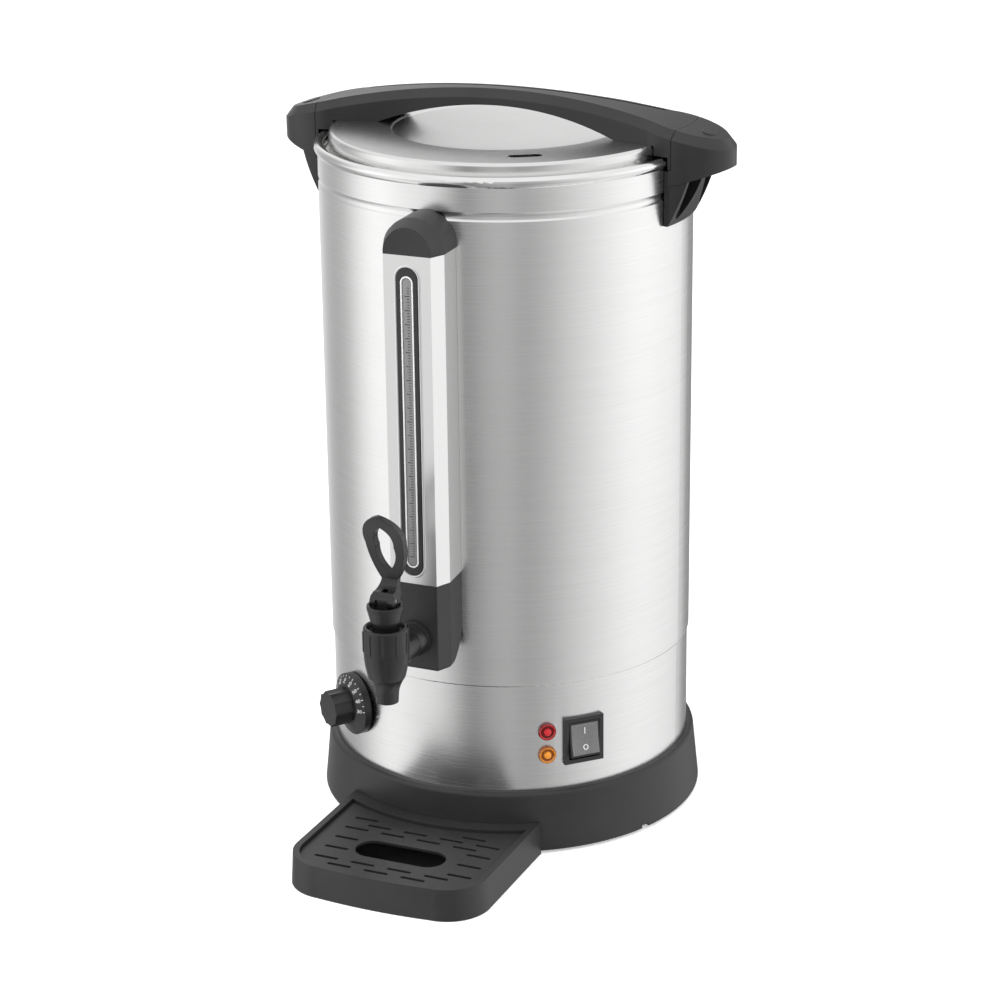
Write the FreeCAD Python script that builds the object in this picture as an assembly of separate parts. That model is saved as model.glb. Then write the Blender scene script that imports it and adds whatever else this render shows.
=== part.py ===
import FreeCAD, Part
import math
import os
from FreeCAD import Vector

# Hot water urn, modelled about the axis of its round body.
# The front, where the tap is, faces -Y. Sizes are millimetres, angles degrees.

# Steel body
shell_radius = 137.0
shell_wall = 1.0
shell_top = 500.0
seam_height = 130.0
seam_curl = 1.2
seam_overlap = 7.0
groove_height = 479.5
groove_width = 6.5
groove_depth = 1.2
band_inset = 1.2
tank_gap = 7.0
tank_wall = 1.0
tank_floor = seam_height + 16.0
tank_corner = 8.0
ledge_height = 496.0
ledge_width = 4.0
rim_overhang = 2.7
rim_radius = 3.7
port_height = seam_height + 48.0

# Plastic base
base_height = 47.4
base_flare = 8.7
base_shoulder = 4.5
base_wall = 3.0
base_lift = 2.5
band_seat = 40.0
seat_lip = 5.0
foot_radius = 9.0
foot_circle = 117.0
boss_radius = 4.5
boss_circle = 133.0
notch_azimuth = 66.8
notch_width = 7.0
notch_height = 2.2
plate_thickness = 2.0

# Lid
lid_radius = 128.5
lid_sheet = 1.0
lid_height = 515.0
lid_corner = 3.0
dish_radius = 82.2
dish_depth = 7.5
dish_step = 1.2
liner_radius = 123.0
vent_length = 24.0
vent_width = 8.0
vent_circle = 103.5
vent_azimuth = 31.0
seal_thickness = 2.4

# Lid bar and the two side handles, one boat-shaped outline
bar_end_width = 62.0
bar_waist_width = 27.0
bar_crown = 543.0
bar_crown_radius = 612.0
bar_depth = 11.0
bar_arch_height = bar_crown - bar_depth
bar_arch_radius = 262.0
bar_chamfer = 6.0
bar_split_radius = 142.4
bar_foot_inner = 100.0
handle_reach = 176.0
handle_bottom = 499.0
bracket_bottom = 458.3
bracket_half_angle = 12.4
bracket_rise = 34.7
bracket_top_depth = 17.0
bracket_foot_depth = 3.0
bracket_plate = 3.2
bracket_web = 3.4
handle_dip = 12.0
bracket_rib = 6.0
screw_spread = 6.2
screw_radius = 2.0
pad_centre = 158.0
pad_half_width = 5.2
pad_half_length = 10.0
pad_rise = 0.7
bar_groove_width = 2.4
bar_groove_depth = 1.5

# Gauge column and tap housing
column_front = 170.7
column_front_half = 17.9
column_fold_half = 23.0
column_fold = 159.0
column_rear_half = 21.0
column_bottom = port_height + 41.5
column_top = 458.5
column_wall = 1.0
cap_rise = 25.5
cap_front_rise = 19.5
housing_bottom = port_height - 24.5
housing_round = 4.0
housing_wall = 2.5
housing_heel = 24.0
insert_width = 15.8
insert_low = column_bottom + 6.5
insert_high = column_top - 8.5
window_width = 9.2
window_margin = 6.0
tube_radius = 5.0
tube_bore = 3.6
tube_axis = 160.0
tube_seal = 1.4
tube_low = port_height + 18.0
tube_high = column_top + 2.5

# Tap
tap_axis = 217.5
spout_bottom = port_height - 30.2
spout_radius = 7.9
spout_bore = 5.8
spout_cone = port_height - 22.0
tap_waist = port_height - 11.2
tap_waist_radius = 13.2
tap_shoulder = port_height + 7.3
tap_radius = 16.0
barrel_radius = 10.5
chamber_radius = 10.0
seat_height = port_height - 8.0
bonnet_radius = tap_radius
bonnet_cup = 4.0
bonnet_top = port_height + 26.5
neck_radius = 9.7
flange_radius = 13.0
flange_bottom = port_height + 38.4
flange_top = flange_bottom + 4.4
lever_pivot = flange_top + 3.8
lever_boss = 6.2
lever_half_width = 9.0
pin_radius = 1.6
stem_radius = 2.5
stem_travel = 3.0
loop_half_width = 14.3
loop_centre = lever_pivot + 40.4
loop_rise = 23.9
loop_hole_half_width = 6.8
loop_hole_low = lever_pivot + 18.4
loop_hole_high = lever_pivot + 54.4
neck_height = lever_pivot + 12.4
neck_half_width = 6.0
shank_radius = 8.0
shank_bore = 5.0

# Drip tray
tray_half_width = 77.0
tray_draft = 1.4
tray_reach = 253.0
tray_height = 24.5
tray_corner = 32.0
tray_wall = 2.6
tray_rim = 5.0
tray_floor = 3.0
tray_deck = 8.5
grille_thickness = 2.4
grille_recess = 2.6
slot_length = 19.0
slot_width = 3.0
slot_pitch_x = 29.0
slot_pitch_y = 8.3
finger_half_length = 35.0
finger_width = 26.0

# Controls, each at its own azimuth from the front and its own height
knob_azimuth = -35.0
knob_height = 91.5
dial_radius = 23.5
dial_gap = 0.6
dial_rim = 5.2
dial_cone_radius = 15.5
dial_depth = 9.2
grip_radius = 13.8
grip_facets = 10
grip_reach = 25.0
spindle_radius = 3.0
lamp_azimuth = 34.5
lamp_heights = (93.9, 75.5)
lamp_radius = 5.2
lamp_bezel_radius = 6.6
switch_azimuth = 46.2
switch_height = 84.5
switch_width = 31.0
switch_tall = 36.0
switch_border = 3.3
switch_proud = 3.6
rocker_swing = 10.0
inlet_height = 88.0
inlet_width = 30.0
inlet_tall = 23.0

# Clearances
clearance = 0.4
snug = 0.2
running = 0.05

UP = Vector(0, 0, 1)
ORIGIN = Vector(0, 0, 0)
band_radius = shell_radius - band_inset
base_foot = shell_radius + base_flare
base_top = shell_radius + base_shoulder
tank_radius = shell_radius - shell_wall - tank_gap - tank_wall
rim_middle = shell_radius + rim_overhang - rim_radius
rim_height = shell_top + rim_radius
rim_top = rim_height + rim_radius
mouth_radius = tank_radius + ledge_width
column_rear_line = math.sqrt(shell_radius ** 2 - column_rear_half ** 2)
tray_shift = (tray_reach - shell_radius - base_flare) / 2


def outline(start, *steps):
    """Flat face in the XZ plane; a step is a corner, or an arc's middle and end."""
    edges = []
    here = start
    for step in steps + (start,):
        middle, there = step if isinstance(step[0], tuple) else (None, step)
        first, last = Vector(here[0], 0, here[1]), Vector(there[0], 0, there[1])
        if middle:
            edges.append(Part.Arc(first, Vector(middle[0], 0, middle[1]), last).toShape())
        elif (last - first).Length > 1e-6:
            edges.append(Part.LineSegment(first, last).toShape())
        here = there
    return Part.Face(Part.Wire(edges))


def on_circle(x, z, radius, degrees):
    """Point on a circle, used as the middle or end of a round corner."""
    turn = math.radians(degrees)
    return (x + radius * math.cos(turn), z + radius * math.sin(turn))


def outward(solid):
    """A swept solid with its faces turned outwards, whichever way its outline ran."""
    if solid.Volume < 0:
        solid.reverse()
    return solid


def spun(start, *steps):
    """Solid of revolution about the urn's axis; points are radius, height."""
    return outward(outline(start, *steps).revolve(ORIGIN, UP, 360))


def disc(radius, low, high, x=0.0, y=0.0):
    return Part.makeCylinder(radius, high - low, Vector(x, y, low))


def ring(outer, inner, low, high):
    return disc(outer, low, high).cut(disc(inner, low - 1, high + 1))


def block(x0, x1, y0, y1, z0, z1):
    return Part.makeBox(x1 - x0, y1 - y0, z1 - z0, Vector(x0, y0, z0))


def rod(radius, reach_in, reach_out, height, x=0.0):
    """Cylinder along Y, between two distances out from the urn's axis towards the front."""
    return Part.makeCylinder(radius, reach_out - reach_in, Vector(x, -reach_in, height), Vector(0, -1, 0))


def cross_rod(radius, half_length, y, z):
    """Cylinder along X, centred on the front plane of symmetry."""
    return Part.makeCylinder(radius, 2 * half_length, Vector(-half_length, y, z), Vector(1, 0, 0))


def plan(points, low, high):
    """Prism whose plan is a closed outline, given like outline but with Y for Z."""
    face = outline(*points)
    face.rotate(ORIGIN, Vector(1, 0, 0), -90)
    face.translate(Vector(0, 0, low))
    return outward(face.extrude(Vector(0, 0, high - low)))


def across(face, half_width):
    """Face drawn in the XZ plane, made a prism that runs both ways along Y."""
    face.translate(Vector(0, -half_width, 0))
    return outward(face.extrude(Vector(0, 2 * half_width, 0)))


def side_prism(points, half_width):
    """Prism along X; points are distance out towards the front, height."""
    face = outline(*points)
    solid = across(face, half_width)
    solid.rotate(ORIGIN, UP, -90)
    return solid


def turned(shape, azimuth):
    """Copy of a front-facing shape, turned round the body to its azimuth."""
    moved = shape.copy()
    moved.rotate(ORIGIN, UP, azimuth)
    return moved


def fuse(first, *others):
    for other in others:
        first = first.fuse(other)
    return first.removeSplitter()


def screw(x, y, low, high, radius, head_radius, head_height):
    """Pan-head screw that stands on its head: the shank points up."""
    return fuse(disc(radius, low, high, x, y), disc(head_radius, low - head_height, low, x, y))


def column_plan(inset=0.0):
    """Plan of the gauge column, wide at a fold behind its front face."""
    front, fold, rear = (half - inset for half in (column_front_half, column_fold_half, column_rear_half))
    back = -shell_radius + 8
    front_y = -column_front + inset
    return [(-front, front_y), (front, front_y), (fold, -column_fold), (rear, -column_rear_line),
            (rear, back), (-rear, back), (-rear, -column_rear_line), (-fold, -column_fold)]


def make_body(parts):
    """Outer shell, tank with its rolled rim, and the steel band under the seam."""
    low, high = groove_height - groove_width / 2, groove_height + groove_width / 2
    inner = shell_radius - shell_wall
    curl = seam_height + seam_curl
    shell = spun((inner, seam_height), (shell_radius - seam_curl, seam_height),
                 (on_circle(shell_radius - seam_curl, curl, seam_curl, -45), (shell_radius, curl)),
                 (shell_radius, low), ((shell_radius - groove_depth, groove_height), (shell_radius, high)),
                 (shell_radius, shell_top), (inner, shell_top), (inner, high),
                 ((inner - groove_depth, groove_height), (inner, low)))
    tank_outer = tank_radius + tank_wall
    floor_under = tank_floor - tank_wall
    mouth_outer = mouth_radius + tank_wall
    floor_edge = tank_radius - tank_corner
    corner_height = tank_floor + tank_corner
    ledge_under = ledge_height - tank_wall
    floor = disc(floor_edge, floor_under, tank_floor)
    tank = spun((floor_edge, floor_under), (floor_edge, tank_floor),
                (on_circle(floor_edge, corner_height, tank_corner, -45), (tank_radius, corner_height)),
                (tank_radius, ledge_under), (tank_outer, ledge_under), (tank_outer, corner_height),
                (on_circle(floor_edge, corner_height, tank_corner + tank_wall, -45), (floor_edge, floor_under)))
    rim = spun((tank_radius, ledge_under), (tank_radius, ledge_height), (mouth_radius, ledge_height),
               (mouth_radius, rim_height),
               (on_circle(rim_middle, rim_height, rim_radius, 90), (rim_middle + rim_radius, rim_height)),
               (on_circle(rim_middle, rim_height, rim_radius, -30),
                (rim_middle + 0.5 * rim_radius, rim_height - rim_radius)),
               (mouth_outer, shell_top), (mouth_outer, ledge_under))
    band = spun((band_radius - shell_wall, band_seat), (band_radius, band_seat),
                (band_radius, seam_height + seam_overlap), (band_radius - shell_wall, seam_height + seam_overlap))
    port = rod(shank_radius + clearance, tank_radius - 10, shell_radius + 2, port_height)
    tank = tank.cut(rod(shank_radius + snug, tank_radius - 10, shell_radius - 4, port_height))
    band = band.cut(turned(rod(spindle_radius + 1.0, band_radius - 8, band_radius + 4, knob_height), knob_azimuth))
    for height in lamp_heights:
        hole = rod(lamp_radius + snug, band_radius - 8, band_radius + 4, height)
        band = band.cut(turned(hole, lamp_azimuth))
    band = band.cut(turned(switch_core(snug), switch_azimuth))
    band = band.cut(turned(inlet_core(snug), 180))
    parts["outer_shell"] = shell.cut(port)
    parts["inner_tank"] = tank
    parts["tank_floor_plate"] = floor
    parts["tank_rim"] = rim
    parts["lower_band"] = band


def make_base(parts):
    """Flared base ring with screw bosses, its floor plate, screws and rubber feet."""
    foot, top, low = base_foot, base_top, base_lift
    lip = band_radius + snug
    shoulder = 3.6
    inner_foot, inner_top = foot - base_wall, top - base_wall
    seat_under = band_seat - base_wall
    base = spun((lip, band_seat), (lip, base_height), (top - shoulder, base_height),
                (on_circle(top - shoulder, base_height - shoulder, shoulder, 45), (top, base_height - shoulder)),
                (foot, low), (inner_foot, low), (inner_top, seat_under),
                (band_radius - seat_lip, seat_under), (band_radius - seat_lip, band_seat))
    plate_top = low + plate_thickness
    for quarter in range(4):
        turn = math.radians(45 + 90 * quarter)
        x, y = boss_circle * math.cos(turn), boss_circle * math.sin(turn)
        boss = disc(boss_radius, plate_top, seat_under + 1, x, y).cut(disc(1.7, plate_top - 1, plate_top + 14, x, y))
        base = fuse(base, boss)
    for side in (-1, 1):
        slot = block(side * 40 - 9 - clearance, side * 40 + 9 + clearance, -shell_radius - 20, -shell_radius + 15,
                     8 - clearance, 12 + clearance)
        base = base.cut(slot)
    notch = block(-notch_width / 2, notch_width / 2, -foot - 1, -inner_foot + 1, low - 1, low + notch_height)
    base = base.cut(turned(notch, notch_azimuth))
    plate = disc(inner_foot - 0.6, low, plate_top)
    screws = []
    feet = []
    for quarter in range(4):
        turn = math.radians(45 + 90 * quarter)
        x, y = boss_circle * math.cos(turn), boss_circle * math.sin(turn)
        plate = plate.cut(disc(2.0, low - 1, plate_top + 1, x, y))
        screws.append(screw(x, y, low, plate_top + 12, 1.7, 3.6, 1.6))
        x, y = foot_circle * math.cos(turn), foot_circle * math.sin(turn)
        plate = plate.cut(disc(3.0, low - 1, plate_top + 1, x, y))
        stud = disc(3.0, low - 0.5, plate_top, x, y)
        feet.append(fuse(disc(foot_radius, 0, low, x, y), stud, disc(4.5, plate_top, plate_top + 1.6, x, y)))
    for row in range(-3, 4):
        vent = block(-26, 26, row * 9 - 1.6, row * 9 + 1.6, low - 1, plate_top + 1)
        plate = plate.cut(vent)
    parts["base_ring"] = base
    parts["base_plate"] = plate
    parts["base_screws"] = Part.makeCompound(screws)
    parts["rubber_feet"] = Part.makeCompound(feet)


def make_heating(parts):
    """Heating plate under the tank, its elements, the cut-out and the terminal block."""
    under = tank_floor - tank_wall
    plate_low = under - 6
    parts["heating_plate"] = disc(80, plate_low, under)
    tube = 4.0
    main = Part.makeTorus(58, tube, Vector(0, 0, plate_low - tube), UP, 0, 360, 320)
    tails = []
    for degrees in (0, 320):
        turn = math.radians(degrees)
        x, y = 58 * math.cos(turn), 58 * math.sin(turn)
        tails.append(disc(2.2, plate_low - 22, plate_low - tube, x, y))
    parts["heating_element"] = fuse(main, *tails)
    keep = Part.makeTorus(34, 3.0, Vector(0, 0, plate_low - 3.0), UP, 0, 360, 300)
    keep_tails = []
    for degrees in (0, 300):
        turn = math.radians(degrees)
        keep_tails.append(disc(1.8, plate_low - 18, plate_low - 3, 34 * math.cos(turn), 34 * math.sin(turn)))
    parts["keep_warm_element"] = fuse(keep, *keep_tails)
    cut_out = fuse(disc(9, plate_low - 8, plate_low), disc(11.5, plate_low - 1.5, plate_low))
    parts["thermal_cutout"] = cut_out
    bulb_low = plate_low - 5
    bulb = Part.makeCylinder(2.4, 44, Vector(-22, 46, bulb_low + 2.6), Vector(1, 0, 0))
    parts["thermostat_bulb"] = bulb.fuse(block(-8, 8, 43.0, 49.0, bulb_low + 2.6, plate_low)).removeSplitter()
    top = base_lift + plate_thickness
    terminal = block(-24, 24, 62, 80, top, top + 16)
    for column in range(4):
        x = -18 + 12 * column
        terminal = terminal.cut(disc(3.0, top + 9, top + 17, x, 71))
    parts["terminal_block"] = terminal


def on_bowl(radius, edge_radius, depth, low):
    """Point of a bowl whose arc is centred on the urn's axis."""
    bowl = (edge_radius ** 2 + depth ** 2) / (2 * depth)
    return (radius, low + bowl - math.sqrt(bowl ** 2 - radius ** 2))


def make_lid(parts):
    """Steel lid with a concave dish, its liner pan, seal and screws."""
    skirt_low = ledge_height + seal_thickness + 2 * 0.3
    under = lid_height - lid_sheet
    inner = lid_radius - lid_sheet
    edge = dish_radius + dish_step
    dish_low = lid_height - dish_step - dish_depth
    sheet_low = dish_low - lid_sheet
    lid = spun((0, dish_low), (on_bowl(dish_radius / 2, dish_radius, dish_depth, dish_low),
                               (dish_radius, lid_height - dish_step)),
               (edge, lid_height), (lid_radius - lid_corner, lid_height),
               (on_circle(lid_radius - lid_corner, lid_height - lid_corner, lid_corner, 45),
                (lid_radius, lid_height - lid_corner)),
               (lid_radius, skirt_low), (inner, skirt_low), (inner, lid_height - lid_corner),
               (on_circle(lid_radius - lid_corner, lid_height - lid_corner, lid_corner - lid_sheet, 45),
                (lid_radius - lid_corner, under)),
               (edge + 0.4, under), (dish_radius + 0.4, lid_height - dish_step - lid_sheet),
               (on_bowl(dish_radius / 2, dish_radius + 0.4, dish_depth, sheet_low), (0, sheet_low)))
    slot = slot_shape(0, -vent_circle, vent_length, vent_width, under - 4, lid_height + 1)
    lid = lid.cut(turned(slot, vent_azimuth))
    pan_low = ledge_height + seal_thickness + 0.8
    liner = spun((0, pan_low), (liner_radius, pan_low), (liner_radius, under), (liner_radius - lid_sheet, under),
                 (liner_radius - lid_sheet, pan_low + lid_sheet), (0, pan_low + lid_sheet))
    liner = liner.cut(turned(disc(3.0, pan_low - 1, pan_low + 3, 0, -vent_circle), vent_azimuth + 8))
    screws = []
    for x in (-113, 113):
        for y in (-10, 10):
            screws.append(screw(x, y, pan_low, lid_height + 7, 2.0, 3.6, 1.8))
            liner = liner.cut(disc(2.0, pan_low - 1, pan_low + 3, x, y))
            lid = lid.cut(disc(2.0, under - 1, lid_height + 1, x, y))
    seal_low = ledge_height + 0.3
    seal = ring(mouth_radius - 0.6, liner_radius + 0.35, seal_low, seal_low + seal_thickness)
    parts["lid_cover"] = lid
    parts["lid_liner"] = liner
    parts["lid_screws"] = Part.makeCompound(screws)
    parts["lid_seal"] = seal


def oval_block(x, half_x, half_y, low, high):
    """Upright prism with an elliptical plan."""
    long_half, short_half = max(half_x, half_y), min(half_x, half_y)
    edge = Part.Ellipse(Vector(x, 0, low), long_half, short_half).toShape()
    if half_y > half_x:
        edge.rotate(Vector(x, 0, low), UP, 90)
    return outward(Part.Face(Part.Wire([edge])).extrude(Vector(0, 0, high - low)))


def boat_block(inset, low, high):
    """Plan of bar and handles together: a waisted middle and two half-ellipse ends."""
    join = math.sqrt((bar_split_radius + clearance / 2) ** 2 - (bar_end_width / 2) ** 2)
    half_end = bar_end_width / 2 - inset
    half_waist = bar_waist_width / 2 - inset
    reach = handle_reach - join - inset
    waist = plan([(-join, -half_end), ((0, -half_waist), (join, -half_end)), (join, half_end),
                  ((0, half_waist), (-join, half_end))], low, high)
    return fuse(waist, oval_block(-join, reach, half_end, low, high), oval_block(join, reach, half_end, low, high))


def under_crown(drop, half_length):
    """Everything below the crown's arc, lowered by a drop."""
    top = bar_crown - drop
    fall = bar_crown_radius - math.sqrt(bar_crown_radius ** 2 - half_length ** 2)
    face = outline((-half_length, 400), (half_length, 400), (half_length, top - fall),
                   ((0, top), (-half_length, top - fall)))
    return across(face, 60)


def make_bar_and_handles(parts):
    """The lid bar with its arch, and the two handles that carry on its shape."""
    crown = boat_block(0, handle_bottom, bar_crown + 5).common(under_crown(0, 200))
    long_edges = []
    for edge in crown.Edges:
        middle = edge.valueAt((edge.FirstParameter + edge.LastParameter) / 2)
        drop = bar_crown_radius - math.sqrt(bar_crown_radius ** 2 - middle.x ** 2)
        if abs(middle.z - (bar_crown - drop)) < 0.05 and edge.Length > 8:
            long_edges.append(edge)
    crown = crown.makeChamfer(bar_chamfer, long_edges)
    bar = crown.common(turned(disc(bar_split_radius, 400, 600), 90))
    arch_half = bar_foot_inner
    arch_fall = bar_arch_radius - math.sqrt(bar_arch_radius ** 2 - arch_half ** 2)
    foot_top = bar_arch_height - arch_fall
    arch = outline((-arch_half, handle_bottom), (-arch_half, foot_top), ((0, bar_arch_height), (arch_half, foot_top)),
                   (arch_half, handle_bottom))
    bar = bar.cut(across(arch, 60)).cut(disc(lid_radius + clearance, 400, lid_height))
    rim_clear = spun((0, 400), (rim_middle + rim_radius + 0.6, 400), (rim_middle + rim_radius + 0.6, rim_top + 0.8),
                     (0, rim_top + 0.8))
    bar = bar.cut(rim_clear).cut(disc(bar_split_radius + 1, 400, handle_bottom + clearance))
    groove_inset = bar_chamfer + 2.6
    outer = boat_block(groove_inset, 480, 560)
    inner = boat_block(groove_inset + bar_groove_width, 480, 560)
    groove = outer.cut(inner).common(block(-116, 118, 0, 60, 480, 560))
    bar = bar.cut(groove.cut(under_crown(bar_groove_depth, 200)))
    for x in (-113, 113):
        for y in (-10, 10):
            bar = bar.cut(disc(2.0, lid_height - 1, lid_height + 7, x, y))
    parts["lid_bar"] = bar
    outer_crown = crown.cut(disc(bar_split_radius + clearance, 400, 600))
    handle = outer_crown.common(block(100, 200, -60, 60, 400, 600))
    dip = handle_bottom - handle_dip
    underside = across(outline((shell_radius, dip), (handle_reach + 1, handle_bottom), (shell_radius, handle_bottom)), 60)
    underside = underside.common(boat_block(0, dip - 1, handle_bottom + 1)).cut(disc(shell_radius + 0.3, 400, 600))
    handle = fuse(handle, underside, make_bracket())
    pad = oval_block(pad_centre, pad_half_width, pad_half_length, handle_bottom + 10, bar_crown)
    handle = fuse(handle, pad.common(under_crown(-pad_rise, 200)))
    screws = []
    plates = []
    screw_height = groove_height - 2.5
    inner = shell_radius - shell_wall - groove_depth - snug
    plate_inner = inner - plate_thickness
    screw_tip = shell_radius + bracket_plate - 0.2
    for turn in (-screw_spread, screw_spread):
        hole = rod(screw_radius, plate_inner - 1, screw_tip, screw_height)
        handle = handle.cut(turned(hole, 90 + turn))
    for side in (0, 180):
        for turn in (-screw_spread, screw_spread):
            shank = rod(screw_radius, plate_inner - 0.3, screw_tip, screw_height)
            head = rod(2 * screw_radius, plate_inner - 2.3, plate_inner - 0.3, screw_height)
            screws.append(turned(fuse(shank, head), 90 + side + turn))
            hole = rod(screw_radius + 0.1, plate_inner - 1, screw_tip, screw_height)
            parts["outer_shell"] = parts["outer_shell"].cut(turned(hole, 90 + side + turn))
        plate = ring(inner, plate_inner, screw_height - 15, screw_height + 15)
        reach, spread = 2 * shell_radius, math.radians(12)
        wedge = plan([(0, 0), (reach * math.cos(spread), -reach * math.sin(spread)),
                      (reach * math.cos(spread), reach * math.sin(spread))], 0, shell_top)
        plate = plate.common(wedge)
        for turn in (-screw_spread, screw_spread):
            hole = rod(screw_radius, plate_inner - 3, shell_radius, screw_height)
            plate = plate.cut(turned(hole, 90 + turn))
        plates.append(turned(plate, side))
    parts["handle_right"] = handle
    parts["handle_left"] = turned(handle, 180)
    parts["handle_screws"] = Part.makeCompound(screws)
    parts["handle_plates"] = Part.makeCompound(plates)


def make_bracket():
    """Bracket under a handle: a curved skin on the body, with two windows and a rib."""
    body = shell_radius + 0.3
    top_depth, foot_depth = bracket_top_depth, bracket_foot_depth
    skin = outline((body, bracket_bottom), (body + foot_depth, bracket_bottom),
                   ((body + 0.64 * top_depth, bracket_bottom + 0.48 * bracket_rise),
                    (body + top_depth, bracket_bottom + bracket_rise)),
                   (body + top_depth, handle_bottom), (body, handle_bottom))
    skin = outward(skin.revolve(ORIGIN, UP, 2 * bracket_half_angle))
    skin.rotate(ORIGIN, UP, -bracket_half_angle)
    skin = skin.common(boat_block(0.6, bracket_bottom - 1, handle_bottom + 1))
    rim_room = disc(rim_middle + rim_radius + 0.6, shell_top - 2, rim_top + 2)
    edge = shell_radius * math.sin(math.radians(bracket_half_angle)) - bracket_web
    half_rib = bracket_rib / 2
    window_top, window_bottom = handle_bottom - clearance, bracket_bottom + bracket_plate
    for side in (-1, 1):
        window = outline((side * half_rib, window_top), (side * edge, window_top), (side * edge, window_bottom),
                         (side * (edge - bracket_web), window_bottom),
                         ((side * (half_rib + 0.26 * edge), window_bottom + 0.38 * (window_top - window_bottom)),
                          (side * half_rib, window_top)))
        window.rotate(ORIGIN, UP, 90)
        window.translate(Vector(body + bracket_plate, 0, 0))
        skin = skin.cut(outward(window.extrude(Vector(40, 0, 0))))
    return skin.cut(rim_room)


def make_gauge(parts):
    """Steel column, its cap, the black window insert and the glass sight tube."""
    shell_room = disc(shell_radius + snug, 0, 600)
    column = plan(column_plan(), column_bottom, column_top)
    hollow = plan(column_plan(column_wall), column_bottom - 1, column_top + 1)
    column = column.cut(hollow).cut(shell_room)
    window = stadium(insert_width - 2, insert_low + 1, insert_high - 1, column_front - 4, column_front + 4)
    parts["gauge_cover"] = column.cut(window)
    flange = stadium(insert_width, insert_low, insert_high, column_front, column_front + 0.9)
    core = stadium(insert_width - 2.4, insert_low + 1.2, insert_high - 1.2, column_front - 2.4, column_front)
    view = stadium(window_width, insert_low + window_margin, insert_high - window_margin,
                   column_front - 6, column_front + 3)
    parts["gauge_insert"] = fuse(flange, core).cut(view)
    tube = disc(tube_radius, tube_low, tube_high, 0, -tube_axis)
    parts["sight_tube"] = tube.cut(disc(tube_bore, tube_low - 1, tube_high + 1, 0, -tube_axis))
    seals = []
    for low in (tube_low, tube_high - 9):
        seal = disc(tube_radius + tube_seal, low, low + 6, 0, -tube_axis)
        seals.append(seal.cut(disc(tube_radius, low - 1, low + 8, 0, -tube_axis)))
    parts["tube_seals"] = Part.makeCompound(seals)
    sections = []
    for y, half, rise in ((-column_front, column_front_half, cap_front_rise),
                          (-column_fold, column_fold_half, cap_rise - 1.5),
                          (-shell_radius + 10, column_rear_half + 0.5, cap_rise)):
        sections.append(arch_wire(half, rise, y))
    cap = Part.makeLoft(sections, True, True)
    socket = disc(tube_radius + 0.3, column_top - 2, tube_high + 0.4, 0, -tube_axis)
    plug_plan = column_plan(column_wall + 0.3)
    plug = plan(plug_plan, column_top - 9, column_top + 0.5)
    plug = plug.cut(plan(column_plan(column_wall + 2.0), column_top - 10, column_top - 0.5))
    collar = disc(tube_radius + 4.5, column_top - 9, column_top + 1, 0, -tube_axis)
    collar = collar.common(plan(plug_plan, column_top - 9, column_top + 1))
    cap = fuse(cap, plug, collar).cut(disc(tube_radius + tube_seal, tube_high - 9, tube_high - 3, 0, -tube_axis))
    cap = cap.cut(disc(tube_radius + tube_seal, column_top - 14, tube_high - 8, 0, -tube_axis))
    parts["gauge_cap"] = cap.cut(socket).cut(shell_room)


def stadium(width, low, high, reach_in, reach_out):
    """Upright slot shape with round ends, between two distances out from the axis."""
    half = width / 2
    face = outline((-half, low + half), ((0, low), (half, low + half)), (half, high - half),
                   ((0, high), (-half, high - half)))
    face.translate(Vector(0, -reach_out, 0))
    return outward(face.extrude(Vector(0, reach_out - reach_in, 0)))


def arch_wire(half, rise, y):
    """Half-round arch outline standing on the column's top."""
    foot = column_top
    left, right = Vector(-half, y, foot), Vector(half, y, foot)
    shoulder = 0.72
    rise_at = rise * math.sqrt(1 - shoulder ** 2)
    left_arc = Part.Arc(left, Vector(-half * 0.93, y, foot + rise * 0.42), Vector(-half * shoulder, y, foot + rise_at))
    crown = Part.Arc(Vector(-half * shoulder, y, foot + rise_at), Vector(0, y, foot + rise),
                     Vector(half * shoulder, y, foot + rise_at))
    right_arc = Part.Arc(Vector(half * shoulder, y, foot + rise_at), Vector(half * 0.93, y, foot + rise * 0.42), right)
    base = Part.LineSegment(right, left)
    return Part.Wire([left_arc.toShape(), crown.toShape(), right_arc.toShape(), base.toShape()])


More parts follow.
